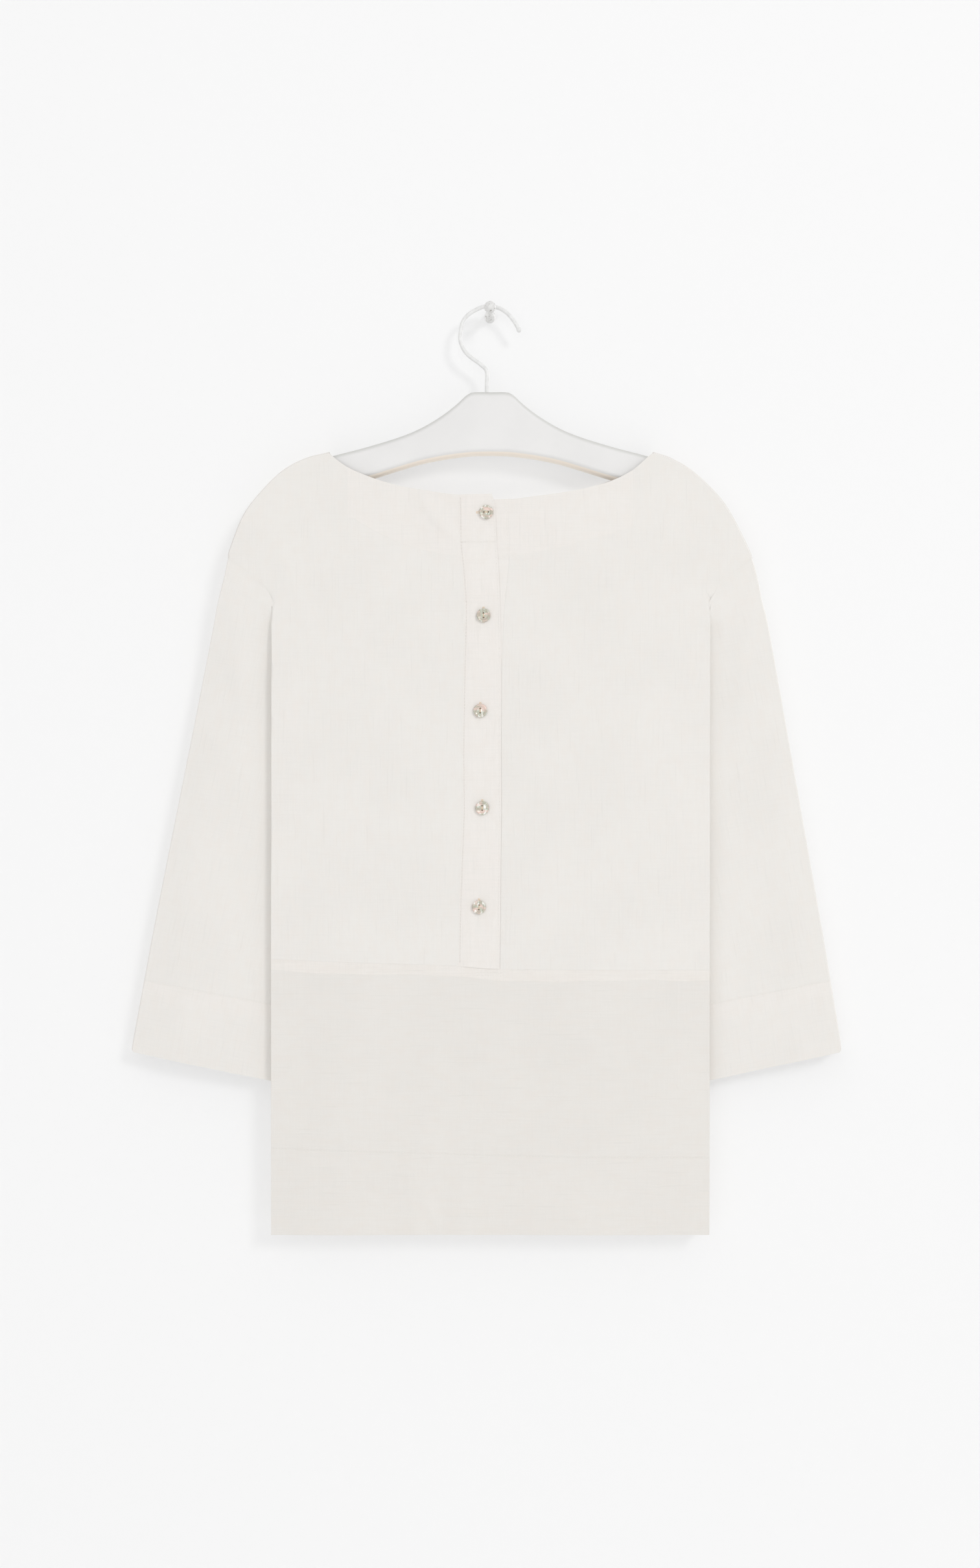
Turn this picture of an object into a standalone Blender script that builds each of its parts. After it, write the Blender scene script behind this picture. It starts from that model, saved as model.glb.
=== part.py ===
"""A thin linen blouse on a shaped hanger, whose wire hook hangs on a ball-headed wall peg.

Metres, +Z up. The origin is the centre of the peg's back face, on the wall plane Y = 0, and the blouse
looks along -Y. Tables and sizes are in millimetres until the meshes are made. A drop is a distance
below the peg's axis, and a depth is a place along Y, less than zero in front of the wall.
"""

import math

import bpy
import numpy as np

MM = 0.001

# Cloth
CLOTH_WALL = 1.2
HEM_WALL = 2.4
SEAM_GAP = 0.3
FOLD_GAP = 0.2
FOLD_RADIUS = 8.0
FOLD_STEPS = (0.0, 0.05, 0.6, 2.2, 4.7, 8.0)
NECK_STEPS = (0.0, 2.0, 5.0, 9.0)
ARMHOLE_STEPS = (20.0, 31.8)
SIDE_STEPS = (0.0, 4.0, 8.0, 12.0, 17.0, 23.0, 36.0)
SHOULDER_COLUMNS, NECK_COLUMNS, BACK_NECK_COLUMNS, SIDE_ROW_COUNT = 5, 5, 6, 6

# Depth of the body, thicker where the hanger fills it
SHOULDER_MIDDLE, SHOULDER_HALF = -18.0, 12.5
BODY_MIDDLE, BODY_HALF = -21.25, 8.75
HANGER_END_DROP, BODY_START_DROP = 170.0, 232.0

# Edges of the garment: drop, left and right distance from the centre line
SHOULDER_ROWS = (
    (232.2, 242.4, 242.6),
    (224.4, 241.2, 240.0),
    (193.8, 229.2, 224.7),
    (173.4, 214.8, 210.6),
    (151.8, 193.2, 188.0),
    (139.6, 171.0, 168.0),
    (134.0, 149.4, 151.8),
)
SIDE_ROWS = (
    (250.8, 216.6, 216.6),
    (260.4, 208.2, 211.0),
    (274.2, 203.4, 205.8),
    (286.0, 203.0, 204.6),
    (440.0, 203.2, 204.3),
    (608.0, 203.4, 204.0),
)
BAND_SIDE_ROWS = (
    (608.0, 203.4, 204.0),
    (777.0, 203.2, 203.9),
    (858.6, 203.1, 203.7),
)
SLEEVE_ROWS = (
    (232.8, 242.8, 243.0),
    (250.8, 246.6, 247.8),
    (275.4, 252.6, 252.9),
    (314.4, 259.8, 261.3),
    (555.0, 307.2, 303.6),
    (619.8, 319.2, 314.4),
    (684.0, 330.9, 324.7),
    (690.6, 330.6, 324.0),
)

# Necklines from the left neck point to the right one: across, drop
FRONT_NECK_ROWS = (
    (-149.4, 134.0),
    (-145.8, 137.4),
    (-130.8, 148.2),
    (-106.2, 158.4),
    (-83.4, 165.0),
    (-62.0, 168.6),
    (-30.6, 173.0),
    (1.8, 172.4),
    (17.4, 177.0),
    (39.6, 174.6),
    (62.4, 171.6),
    (86.4, 167.4),
    (112.2, 160.2),
    (131.4, 150.6),
    (146.4, 137.8),
    (151.8, 134.0),
)
BACK_NECK_ROWS = (
    (-149.4, 134.0),
    (-144.0, 139.0),
    (-128.0, 151.5),
    (-100.0, 163.5),
    (-60.0, 173.5),
    (0.0, 178.5),
    (60.0, 173.5),
    (102.0, 163.5),
    (130.0, 151.5),
    (146.4, 139.0),
    (151.8, 134.0),
)
OVER_BAND_TOP_DROPS = (173.0, 172.4)
UNDER_BAND_TOP_DROPS = (178.4, 177.0)

# Waist seam and hem stitching: across, drop
WAIST_ROWS = ((-205.0, 603.0), (-138.0, 606.0), (-44.0, 609.0), (10.0, 612.4), (94.0, 613.2), (205.0, 613.2))
HEM_LINE_ROWS = ((-205.0, 778.4), (-44.0, 783.6), (60.0, 786.0), (205.0, 787.2))
HEM_DROP = 858.6

# Button bands: drop, left edge of the upper band, its right edge, right edge of the band under it
PLACKET_ROWS = (
    (172.4, -28.8, 1.8, 17.4),
    (181.0, -28.8, 4.6, 16.4),
    (220.0, -28.2, 6.6, 18.0),
    (240.0, -25.8, 8.0, 17.4),
    (272.0, -23.4, 9.3, 13.8),
    (292.0, -23.4, 9.9, 12.3),
    (336.0, -24.6, 10.2, 10.9),
    (408.0, -25.8, 10.2, 10.4),
    (465.0, -25.2, 10.5, 10.8),
    (513.0, -27.0, 9.9, 10.2),
    (562.0, -28.8, 9.6, 9.9),
    (608.0, -29.4, 9.0, 9.3),
)
BAND_WALL = 1.7
UNDER_BAND_WALL = 1.8
UNDER_BAND_INSET = 6.8
STRIP_COLUMNS, BAND_COLUMNS, BAND_ROWS = 4, 14, 6
HEM_ROW_SHARES = (0.03, 0.5, 1.0)
PANEL_UNDER_BAND = 4.0

# Lower edge of the neck facing: across, drop
FACING_ROWS = (
    (-126.0, 195.0),
    (-115.2, 202.0),
    (-79.2, 219.0),
    (-33.6, 229.5),
    (19.2, 230.0),
    (63.6, 222.0),
    (128.0, 204.0),
)
FACING_ENDS = ((-126.0, -33.0), (19.5, 128.0))
FACING_COLUMNS, FACING_ROW_COUNT = 9, 4
FACING_EDGE = 2.0
FACING_WALL = 1.0

# Sleeves behind the body: distance from the centre line and drop of the hidden edge
SLEEVE_INNER_ROWS = (
    (217.3, 251.6),
    (209.9, 260.2),
    (205.6, 268.0),
    (199.0, 282.0),
    (189.0, 304.0),
    (179.0, 334.0),
    (174.0, 368.0),
    (173.0, 400.0),
    (173.0, 560.0),
    (173.0, 724.0),
)
SLEEVE_HIDDEN_FRONT = -11.9
SLEEVE_TOP_FRONT, SLEEVE_LOW_FRONT = -30.0, -21.0
SLEEVE_TOP_BACK, SLEEVE_LOW_BACK = -12.5, -2.0
SLEEVE_SETTLE = 110.0
SLEEVE_BACK_SETTLE = 60.0
SLEEVE_RAMP_TOP, SLEEVE_RAMP_LOW = 4.0, 26.0
ARMHOLE_SETTLE = 10.0
SIDE_CLEARANCE = 1.5
SLEEVE_ROW_SHARES = (
    *(0.0, 0.011, 0.022, 0.036, 0.054, 0.08, 0.115, 0.16, 0.23),
    *(0.32, 0.42, 0.53, 0.64, 0.75, 0.848, 0.854, 0.925, 1.0),
)
CUFF_START = 0.85

# Soft folds of the front and of the back: start across and drop, end across and drop, half width, height
FRONT_FOLDS = (
    (-62.0, 178.0, -43.0, 201.0, 7.0, 1.5),
    (-40.0, 770.0, -48.0, 856.0, 13.0, -1.2),
    (-128.0, 640.0, -132.0, 850.0, 34.0, 1.4),
    (88.0, 650.0, 96.0, 850.0, 38.0, 1.3),
    (-120.0, 250.0, -150.0, 560.0, 34.0, 1.2),
    (110.0, 260.0, 140.0, 560.0, 36.0, 1.2),
)
BACK_FOLDS = (
    (-70.0, 260.0, -60.0, 590.0, 30.0, 1.4),
    (75.0, 300.0, 85.0, 600.0, 34.0, 1.2),
    (10.0, 420.0, 0.0, 600.0, 24.0, -1.2),
    (-70.0, 640.0, -78.0, 850.0, 36.0, 1.3),
    (70.0, 650.0, 60.0, 850.0, 32.0, 1.4),
)
SLEEVE_COLUMNS = 6
SLEEVE_FOLD_TURNS, SLEEVE_FOLD_PHASE = 7.0, 0.8
SLEEVE_FOLD_HEIGHT = 1.4

# Buttons: across, drop, turn of the holes from the vertical in degrees
BUTTON_ROWS = (
    (-3.6, 189.6, 90.0),
    (-6.0, 285.0, 0.0),
    (-9.0, 373.2, 0.0),
    (-7.2, 463.2, 0.0),
    (-10.2, 555.0, 6.0),
)
BUTTON_PROFILE = (
    (0.0, 1.6),
    (3.4, 1.6),
    (4.3, 2.2),
    (5.4, 2.3),
    (6.3, 1.5),
    (6.3, 1.0),
    (5.0, 0.0),
    (0.0, 0.0),
)
BUTTON_HOLE_RADIUS = 0.9
BUTTON_HOLE_PLACE = 1.9
BUTTON_HOLE_DEPTH = 10.0
BUTTON_HOLE_SIDES = 8
BUTTON_STEPS = 16

# Hanger: distance from the centre line, drop of its top, drop of its underside
HANGER_ROWS = (
    (0.0, 76.0, 134.1),
    (17.5, 76.0, 134.5),
    (21.5, 78.0, 134.9),
    (31.0, 87.3, 136.0),
    (44.4, 97.7, 138.0),
    (63.2, 109.0, 141.8),
    (83.9, 117.7, 147.8),
    (115.5, 127.4, 157.5),
    (146.0, 135.4, 163.5),
    (168.0, 142.4, 166.5),
    (188.0, 155.2, 169.0),
    (194.0, 161.0, 167.5),
)
HANGER_TIP_ROW = (196.5, 162.6, 166.0, 11.0)
HANGER_THICKNESS = 17.0
HANGER_ROUNDING = 7.5

# Hook: across and drop of the wire's centre line, from the hanger to the tip
HOOK_ROWS = (
    (-3.0, 75.6),
    (-3.0, 56.0),
    (-8.5, 49.4),
    (-21.2, 39.7),
    (-27.2, 29.5),
    (-27.8, 21.0),
    (-25.4, 9.5),
    (-19.4, 2.0),
    (-8.5, -4.0),
    (0.0, -5.2),
    (8.5, -3.4),
    (16.3, 1.6),
    (22.4, 8.9),
    (26.6, 16.1),
)
HOOK_POINTS = 34
WIRE_RADIUS = 1.85
TIP_RADIUS = 2.5
TIP_SEGMENTS, TIP_RINGS = 12, 8

# Wall peg: radius and distance from the wall
PEG_STEM_RADIUS = 2.9
PEG_BALL_RADIUS = 5.4
PEG_BALL_PLACE = 32.0
PEG_BALL_STEPS = 9
PEG_STEPS = 16
PEG_BASE_ROWS = ((2.9, 12.0), (4.2, 9.0), (5.0, 6.0), (5.2, 1.0), (4.8, 0.0), (0.0, 0.0))


def clear_scene():
    for obj in list(bpy.data.objects):
        bpy.data.objects.remove(obj, do_unlink=True)


def new_collection(name, hidden=False):
    collection = bpy.data.collections.new(name)
    collection.hide_render = hidden
    bpy.context.scene.collection.children.link(collection)
    return collection


def new_material(name, colour, roughness, metallic=0.0):
    material = bpy.data.materials.new(name)
    material.use_nodes = True
    shader = material.node_tree.nodes["Principled BSDF"]
    shader.inputs["Base Color"].default_value = (*colour, 1.0)
    shader.inputs["Roughness"].default_value = roughness
    shader.inputs["Metallic"].default_value = metallic
    material.diffuse_color = (*colour, 1.0)
    return material


def mix(first, second, share):
    return first + (second - first) * share


def ease(share):
    """0 up to 0 and 1 from 1, with a soft start and end between them."""
    share = np.clip(share, 0.0, 1.0)
    return share * share * (3.0 - 2.0 * share)


def smooth_curve(rows, steps=8):
    """A fine curve through rows of points, rounded between them."""
    rows = np.array(rows, float)
    padded = np.vstack([2 * rows[0] - rows[1], rows, 2 * rows[-1] - rows[-2]])
    curve = []
    for before, start, end, after in zip(padded, padded[1:], padded[2:], padded[3:]):
        for t in np.arange(steps) / steps:
            bend = (2 * before - 5 * start + 4 * end - after) * t * t
            twist = (3 * start - before - 3 * end + after) * t * t * t
            curve.append(start + ((end - before) * t + bend + twist) / 2)
    curve.append(rows[-1])
    return np.array(curve)


def lengths_along(curve):
    return np.concatenate([[0.0], np.cumsum(np.linalg.norm(np.diff(curve, axis=0), axis=1))])


def points_at(curve, shares):
    """The points at these shares of the curve's length."""
    lengths = lengths_along(curve)
    places = np.asarray(shares) * lengths[-1]
    return np.stack([np.interp(places, lengths, column) for column in curve.T], axis=-1)


def shares_from(curve, first, count):
    """Shares of the curve's length at the first distances in mm, then at even steps to its end."""
    first = np.array(first) / lengths_along(curve)[-1]
    rest = np.linspace(first[-1], 1.0, count + 1)[1:]
    return np.concatenate([first, rest])


def shares_from_both_ends(curve, first, count):
    """The first distances in mm from each end of a curve, with even steps between them."""
    first = np.array(first) / lengths_along(curve)[-1]
    middle = np.linspace(first[-1], 1.0 - first[-1], count + 1)[1:-1]
    return np.concatenate([first, middle, 1.0 - first[::-1]])


def side_curve(rows, side):
    """The curve of (across, drop) points of one side, -1 on the left and 1 on the right."""
    column = 1 if side < 0 else 2
    return smooth_curve([(side * row[column], row[0]) for row in rows])


def stretch_of(rows, first, last):
    """The part of a curve through (across, drop) rows between two distances across."""
    curve = smooth_curve(rows)
    across = np.linspace(first, last, 60)
    return np.stack([across, np.interp(across, curve[:, 0], curve[:, 1])], axis=-1)


def placket_edge(drop, column):
    table = np.array(PLACKET_ROWS)
    return np.interp(drop, table[:, 0], table[:, column])


def fill_between(top, bottom, left, right, columns, rows):
    """A grid of (across, drop) points that spreads four edges over the cloth between them."""
    u = np.asarray(columns)[None, :, None]
    v = np.asarray(rows)[:, None, None]
    level = mix(top[None], bottom[None], v) + mix(left[:, None], right[:, None], u)
    corners = mix(mix(top[0], top[-1], u), mix(bottom[0], bottom[-1], u), v)
    return level - corners


def distance_to(points, curve):
    """The distance from each point to the nearest place on a curve."""
    flat = points.reshape(-1, 1, 2)
    start, run = curve[None, :-1], np.diff(curve, axis=0)[None]
    share = ((flat - start) * run).sum(-1) / np.maximum((run * run).sum(-1), 1e-9)
    nearest = start + run * np.clip(share, 0.0, 1.0)[..., None]
    return np.linalg.norm(flat - nearest, axis=-1).min(axis=1).reshape(points.shape[:-1])


def folded_edges():
    """The edges along which the front turns into the back: shoulders and sides, but not the armholes."""
    edges = []
    for side in (-1, 1):
        for rows in (SHOULDER_ROWS, SIDE_ROWS, BAND_SIDE_ROWS):
            edges.append(side_curve(rows, side))
    return edges


FOLDED_EDGES = folded_edges()


def fold_round(distance):
    """0 on a folded edge, rising round a quarter circle to 1 at the fold's radius."""
    share = np.clip(distance / FOLD_RADIUS, 0.0, 1.0)
    return np.sqrt(1.0 - (1.0 - share) ** 2)


def fold_relief(points, folds):
    """How far soft folds lift the cloth at these points."""
    relief = np.zeros(points.shape[:-1])
    for x0, d0, x1, d1, half_width, height in folds:
        start, run = np.array((x0, d0)), np.array((x1 - x0, d1 - d0))
        share = ((points - start) @ run) / (run @ run)
        nearest = start + np.clip(share, 0.0, 1.0)[..., None] * run
        away = np.linalg.norm(points - nearest, axis=-1)
        relief += height * np.exp(-((away / half_width) ** 2))
    return relief


def body_depth(points, face, out=0.0, folded=True):
    """The depth of the body's outer surface, moved out by a distance; face is -1 in front and 1 behind."""
    spread = ease((points[..., 1] - HANGER_END_DROP) / (BODY_START_DROP - HANGER_END_DROP))
    middle = mix(SHOULDER_MIDDLE, BODY_MIDDLE, spread)
    half = mix(SHOULDER_HALF, BODY_HALF, spread)
    rise = fold_round(np.min([distance_to(points, edge) for edge in FOLDED_EDGES], axis=0))
    folds = FRONT_FOLDS if face < 0 else BACK_FOLDS
    relief = fold_relief(points, folds) * rise if folded else 0.0
    return middle + face * (FOLD_GAP + (half - FOLD_GAP) * rise + relief + out)


def mesh_object(name, points, faces, material, collection):
    mesh = bpy.data.meshes.new(name)
    mesh.from_pydata((np.asarray(points) * MM).tolist(), [], faces)
    mesh.materials.append(material)
    mesh.shade_smooth()
    obj = bpy.data.objects.new(name, mesh)
    collection.objects.link(obj)
    return obj


def grid_faces(rows, columns, closed, reverse):
    """The four-sided faces of a grid, whose last column meets the first on a closed one."""
    faces = []
    for row in range(rows - 1):
        for column in range(columns if closed else columns - 1):
            after = (column + 1) % columns
            low, high = row * columns, (row + 1) * columns
            face = (low + column, high + column, high + after, low + after)
            faces.append(face[::-1] if reverse else face)
    return faces


def cloth_object(name, grid, depth, wall, material, collection, closed=False, reverse=False, hem=None):
    """A wall of cloth under a grid of outer points. On a hem the wall is as thick as two layers."""
    rows, columns = grid.shape[:2]
    points = np.stack([grid[..., 0], depth, -grid[..., 1]], axis=-1).reshape(-1, 3)
    faces = grid_faces(rows, columns, closed, reverse)
    obj = mesh_object(name, points, faces, material, collection)
    solidify = obj.modifiers.new("Cloth wall", "SOLIDIFY")
    solidify.offset = -1.0
    solidify.thickness = wall * MM
    if hem is not None:
        group = obj.vertex_groups.new(name="Hem")
        group.add(np.flatnonzero(hem.reshape(-1)).tolist(), 1.0, "REPLACE")
        solidify.vertex_group = group.name
        solidify.thickness = HEM_WALL * MM
        solidify.thickness_vertex_group = wall / HEM_WALL
    return obj


def armhole_and_side(side):
    """Points down the open armhole and then down the side to the waist."""
    armhole = np.array([side_curve(SHOULDER_ROWS, side)[0], side_curve(SIDE_ROWS, side)[0]])
    seam = side_curve(SIDE_ROWS, side)
    seam[-1, 1] = stretch_of(WAIST_ROWS, seam[-1, 0], seam[-1, 0])[0, 1]
    top = points_at(armhole, shares_from(armhole, FOLD_STEPS, len(ARMHOLE_STEPS)))
    below = points_at(seam, shares_from(seam, SIDE_STEPS, SIDE_ROW_COUNT)[1:])
    return np.vstack([top, below])


def shoulder_points(side):
    """Points along the shoulder fold, from the armhole to the neck."""
    shoulder = side_curve(SHOULDER_ROWS, side)
    return points_at(shoulder, shares_from(shoulder, FOLD_STEPS, SHOULDER_COLUMNS))


def row_shares(edge):
    """Shares down an edge that match the rows of armhole_and_side."""
    side_steps = tuple(ARMHOLE_STEPS[-1] + step for step in SIDE_STEPS[1:])
    return shares_from(edge, FOLD_STEPS + ARMHOLE_STEPS + side_steps, SIDE_ROW_COUNT)


def placket_line(first_drop, last_drop, column, out=0.0):
    """A line down one edge of the button bands."""
    drop = np.linspace(first_drop, last_drop, 60)
    return np.stack([placket_edge(drop, column) + out, drop], axis=-1)


def front_half(name, side, material, collection):
    """Half of the upper front with its shoulder cap, from the armhole to the button bands."""
    column, inset = (1, PANEL_UNDER_BAND) if side < 0 else (3, SEAM_GAP)
    outer = armhole_and_side(side)
    neck_end = FRONT_NECK_ROWS[0 if side < 0 else -1][0]
    centre_across = placket_edge(UNDER_BAND_TOP_DROPS[0], column) + inset
    neck = stretch_of(FRONT_NECK_ROWS, neck_end, centre_across)
    neck_points = points_at(neck, shares_from(neck, NECK_STEPS, NECK_COLUMNS))
    waist_across = placket_edge(HEM_DROP, column) + inset
    waist = stretch_of(WAIST_ROWS, outer[-1, 0], waist_across)
    centre = placket_line(neck[-1, 1], waist[-1, 1], column, inset)
    columns = shares_from(waist, FOLD_STEPS, SHOULDER_COLUMNS + len(NECK_STEPS) - 1 + NECK_COLUMNS)
    rows = row_shares(centre)
    top = np.vstack([shoulder_points(side), neck_points[1:]])
    grid = fill_between(top, points_at(waist, columns), outer, points_at(centre, rows), columns, rows)
    return cloth_object(
        name, grid, body_depth(grid, -1), CLOTH_WALL, material, collection, reverse=side > 0
    )


def back_panel(material, collection):
    """The upper back in one piece with both shoulder caps."""
    left, right = armhole_and_side(-1), armhole_and_side(1)
    neck = stretch_of(BACK_NECK_ROWS, BACK_NECK_ROWS[0][0], BACK_NECK_ROWS[-1][0])
    neck_points = points_at(neck, shares_from_both_ends(neck, NECK_STEPS, BACK_NECK_COLUMNS))
    top = np.vstack([shoulder_points(-1), neck_points[1:-1], shoulder_points(1)[::-1]])
    waist = stretch_of(WAIST_ROWS, left[-1, 0], right[-1, 0])
    columns = shares_from_both_ends(waist, FOLD_STEPS, len(top) - 2 * len(FOLD_STEPS) + 1)
    rows = row_shares(np.array([neck[len(neck) // 2], waist[len(waist) // 2]]))
    grid = fill_between(top, points_at(waist, columns), left, right, columns, rows)
    return cloth_object("back", grid, body_depth(grid, 1), CLOTH_WALL, material, collection, reverse=True)


def lower_band(name, face, material, collection):
    """The cross-grain band below the waist seam, with its hem turned up inside."""
    left, right = side_curve(BAND_SIDE_ROWS, -1), side_curve(BAND_SIDE_ROWS, 1)
    waist = stretch_of(WAIST_ROWS, left[0, 0], right[0, 0]) + (0.0, SEAM_GAP)
    hem_line = stretch_of(HEM_LINE_ROWS, left[0, 0], right[0, 0])
    columns = shares_from_both_ends(waist, FOLD_STEPS, BAND_COLUMNS)
    top, turn = points_at(waist, columns), points_at(hem_line, columns)
    bottom = np.stack([turn[:, 0], np.full(len(turn), HEM_DROP)], axis=-1)
    above = [mix(top, turn, share) for share in np.linspace(0.0, 1.0, BAND_ROWS)]
    below = [mix(turn, bottom, share) for share in HEM_ROW_SHARES]
    grid = np.array(above + below)
    left_across = np.interp(grid[:, 0, 1], left[:, 1], left[:, 0])
    right_across = np.interp(grid[:, -1, 1], right[:, 1], right[:, 0])
    grid[..., 0] = mix(left_across[:, None], right_across[:, None], columns)
    hem = np.zeros(grid.shape[:2], bool)
    hem[len(above):] = True
    return cloth_object(
        name, grid, body_depth(grid, face), CLOTH_WALL, material, collection, reverse=face > 0, hem=hem
    )


def sleeve(name, side, material, collection):
    """A flattened tube from the armhole to the cuff, whose inner edge lies behind the body."""
    outer = side_curve(SLEEVE_ROWS, side)
    inner = smooth_curve([(side * across, drop) for across, drop in SLEEVE_INNER_ROWS])
    body_edge = np.vstack([side_curve(SIDE_ROWS, side), side_curve(BAND_SIDE_ROWS, side)[1:]])
    shares = np.array(SLEEVE_ROW_SHARES)
    runs = shares * lengths_along(outer)[-1]
    rings, depths = [], []
    for run, start, end in zip(runs, points_at(outer, shares), points_at(inner, shares)):
        line = np.array([start, end])
        width = lengths_along(line)[-1]
        steps = shares_from_both_ends(line, FOLD_STEPS[:1] + FOLD_STEPS[2:], SLEEVE_COLUMNS)
        points = points_at(line, steps)
        settled = ease(run / SLEEVE_SETTLE)
        ramp = mix(SLEEVE_RAMP_TOP, SLEEVE_RAMP_LOW, settled)
        beside = np.abs(points[:, 0]) - np.interp(points[:, 1], body_edge[:, 1], np.abs(body_edge[:, 0]))
        shown = mix(1.0, ease((beside - SIDE_CLEARANCE) / ramp), ease(run / ARMHOLE_SETTLE))
        front = mix(SLEEVE_HIDDEN_FRONT, mix(SLEEVE_TOP_FRONT, SLEEVE_LOW_FRONT, settled), shown)
        back = mix(SLEEVE_TOP_BACK, SLEEVE_LOW_BACK, ease(run / SLEEVE_BACK_SETTLE))
        rise = fold_round(np.minimum(steps, 1.0 - steps) * width)
        wave = np.sin(SLEEVE_FOLD_TURNS * steps + SLEEVE_FOLD_PHASE * side)
        ripple = SLEEVE_FOLD_HEIGHT * settled * shown * wave
        middle, half = (front + back) / 2, (back - front) / 2
        rings.append(np.vstack([points, points[-2:0:-1]]))
        depths.append(np.concatenate([middle - (half + ripple) * rise, (middle + half * rise)[-2:0:-1]]))
    grid, depth = np.array(rings), np.array(depths)
    hem = np.repeat((shares > CUFF_START)[:, None], grid.shape[1], axis=1)
    return cloth_object(
        name, grid, depth, CLOTH_WALL, material, collection, closed=True, reverse=side > 0, hem=hem
    )


def button_band(name, left_edge, right_edge, top_drops, out, wall, material, collection):
    """A band down the front opening, made from the front's own points and moved out."""
    ends = [placket_edge(HEM_DROP, column) + inset for column, inset in (left_edge, right_edge)]
    waist = stretch_of(WAIST_ROWS, *ends)
    left = placket_line(top_drops[0], waist[0, 1], *left_edge)
    right = placket_line(top_drops[1], waist[-1, 1], *right_edge)
    columns = np.linspace(0.0, 1.0, STRIP_COLUMNS)
    rows = row_shares(right)
    top = mix(left[:1], right[:1], columns[:, None])
    bottom = points_at(waist, columns)
    grid = fill_between(top, bottom, points_at(left, rows), points_at(right, rows), columns, rows)
    return cloth_object(name, grid, body_depth(grid, -1, out), wall, material, collection)


def neck_facing(name, ends, material, collection):
    """The facing behind the neckline, made from the front's own points and moved in."""
    top = stretch_of(FRONT_NECK_ROWS, *ends) + (0.0, FACING_EDGE)
    bottom = stretch_of(FACING_ROWS, *ends)
    columns = np.linspace(0.0, 1.0, FACING_COLUMNS)
    top, bottom = points_at(top, columns), points_at(bottom, columns)
    grid = np.array([mix(top, bottom, share) for share in np.linspace(0.0, 1.0, FACING_ROW_COUNT)])
    depth = body_depth(grid, -1, -CLOTH_WALL - SEAM_GAP, folded=False)
    return cloth_object(name, grid, depth, FACING_WALL, material, collection)


def curve_object(name, splines, material, collection):
    """A curve object whose splines are lists of points in mm."""
    curve = bpy.data.curves.new(name, "CURVE")
    for points, closed in splines:
        spline = curve.splines.new("POLY")
        spline.points.add(len(points) - 1)
        for point, place in zip(spline.points, points):
            point.co = (*(value * MM for value in place), 1.0)
        spline.use_cyclic_u = closed
    curve.materials.append(material)
    obj = bpy.data.objects.new(name, curve)
    collection.objects.link(obj)
    return obj


def hanger_section(across, top, under, thickness):
    """A ring of points round the hanger, flat in front and behind and rounded above and below."""
    half_height, half_thickness = (under - top) / 2, thickness / 2
    radius = min(HANGER_ROUNDING, half_height, half_thickness)
    middle = (top + under) / 2
    ring = []
    for quarter, (front, up) in enumerate(((1, 1), (-1, 1), (-1, -1), (1, -1))):
        for angle in np.radians((0.0, 30.0, 60.0, 90.0)) + quarter * math.pi / 2:
            depth = SHOULDER_MIDDLE + front * (half_thickness - radius) + radius * math.cos(angle)
            height = -middle + up * (half_height - radius) + radius * math.sin(angle)
            ring.append((across, depth, height))
    return ring


def hanger_body(material, collection):
    """The shaped hanger, lofted through its sections from one tip to the other."""
    rows = [(*row, HANGER_THICKNESS) for row in HANGER_ROWS] + [HANGER_TIP_ROW]
    rows = [(-row[0], *row[1:]) for row in rows[:0:-1]] + rows
    sections = [hanger_section(*row) for row in rows]
    count = len(sections[0])
    faces = grid_faces(len(sections), count, closed=True, reverse=True)
    faces.append(tuple(range(count - 1, -1, -1)))
    faces.append(tuple(range((len(sections) - 1) * count, len(sections) * count)))
    points = [point for ring in sections for point in ring]
    obj = mesh_object("hanger_body", points, faces, material, collection)
    weld = obj.modifiers.new("Weld", "WELD")
    weld.merge_threshold = 0.00001
    return obj


def hanger_hook(material, collection):
    """The wire hook, from the hanger's top over the peg to its open end."""
    curve = smooth_curve(HOOK_ROWS, steps=4)
    route = points_at(curve, np.linspace(0.0, 1.0, HOOK_POINTS))
    points = [(across, SHOULDER_MIDDLE, -drop) for across, drop in route]
    obj = curve_object("hanger_hook", [(points, False)], material, collection)
    obj.data.dimensions = "3D"
    obj.data.bevel_depth = WIRE_RADIUS * MM
    obj.data.bevel_resolution = 2
    obj.data.use_fill_caps = True
    return obj


def hook_tip(material, collection):
    """The small ball that closes the wire's end."""
    before, end = (np.array(row) for row in HOOK_ROWS[-2:])
    ahead = (end - before) / np.linalg.norm(end - before)
    across, drop = end + ahead * (TIP_RADIUS + SEAM_GAP)
    place = (across * MM, SHOULDER_MIDDLE * MM, -drop * MM)
    bpy.ops.mesh.primitive_uv_sphere_add(
        segments=TIP_SEGMENTS, ring_count=TIP_RINGS, radius=TIP_RADIUS * MM, location=place
    )
    return adopt("hanger_hook_tip", material, collection)


def adopt(name, material, collection):
    """Names the object that was added last and moves it into the collection."""
    obj = bpy.context.active_object
    obj.name = name
    obj.data.name = name
    obj.data.materials.append(material)
    for holder in list(obj.users_collection):
        holder.objects.unlink(obj)
    collection.objects.link(obj)
    obj.data.shade_smooth()
    return obj


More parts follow.
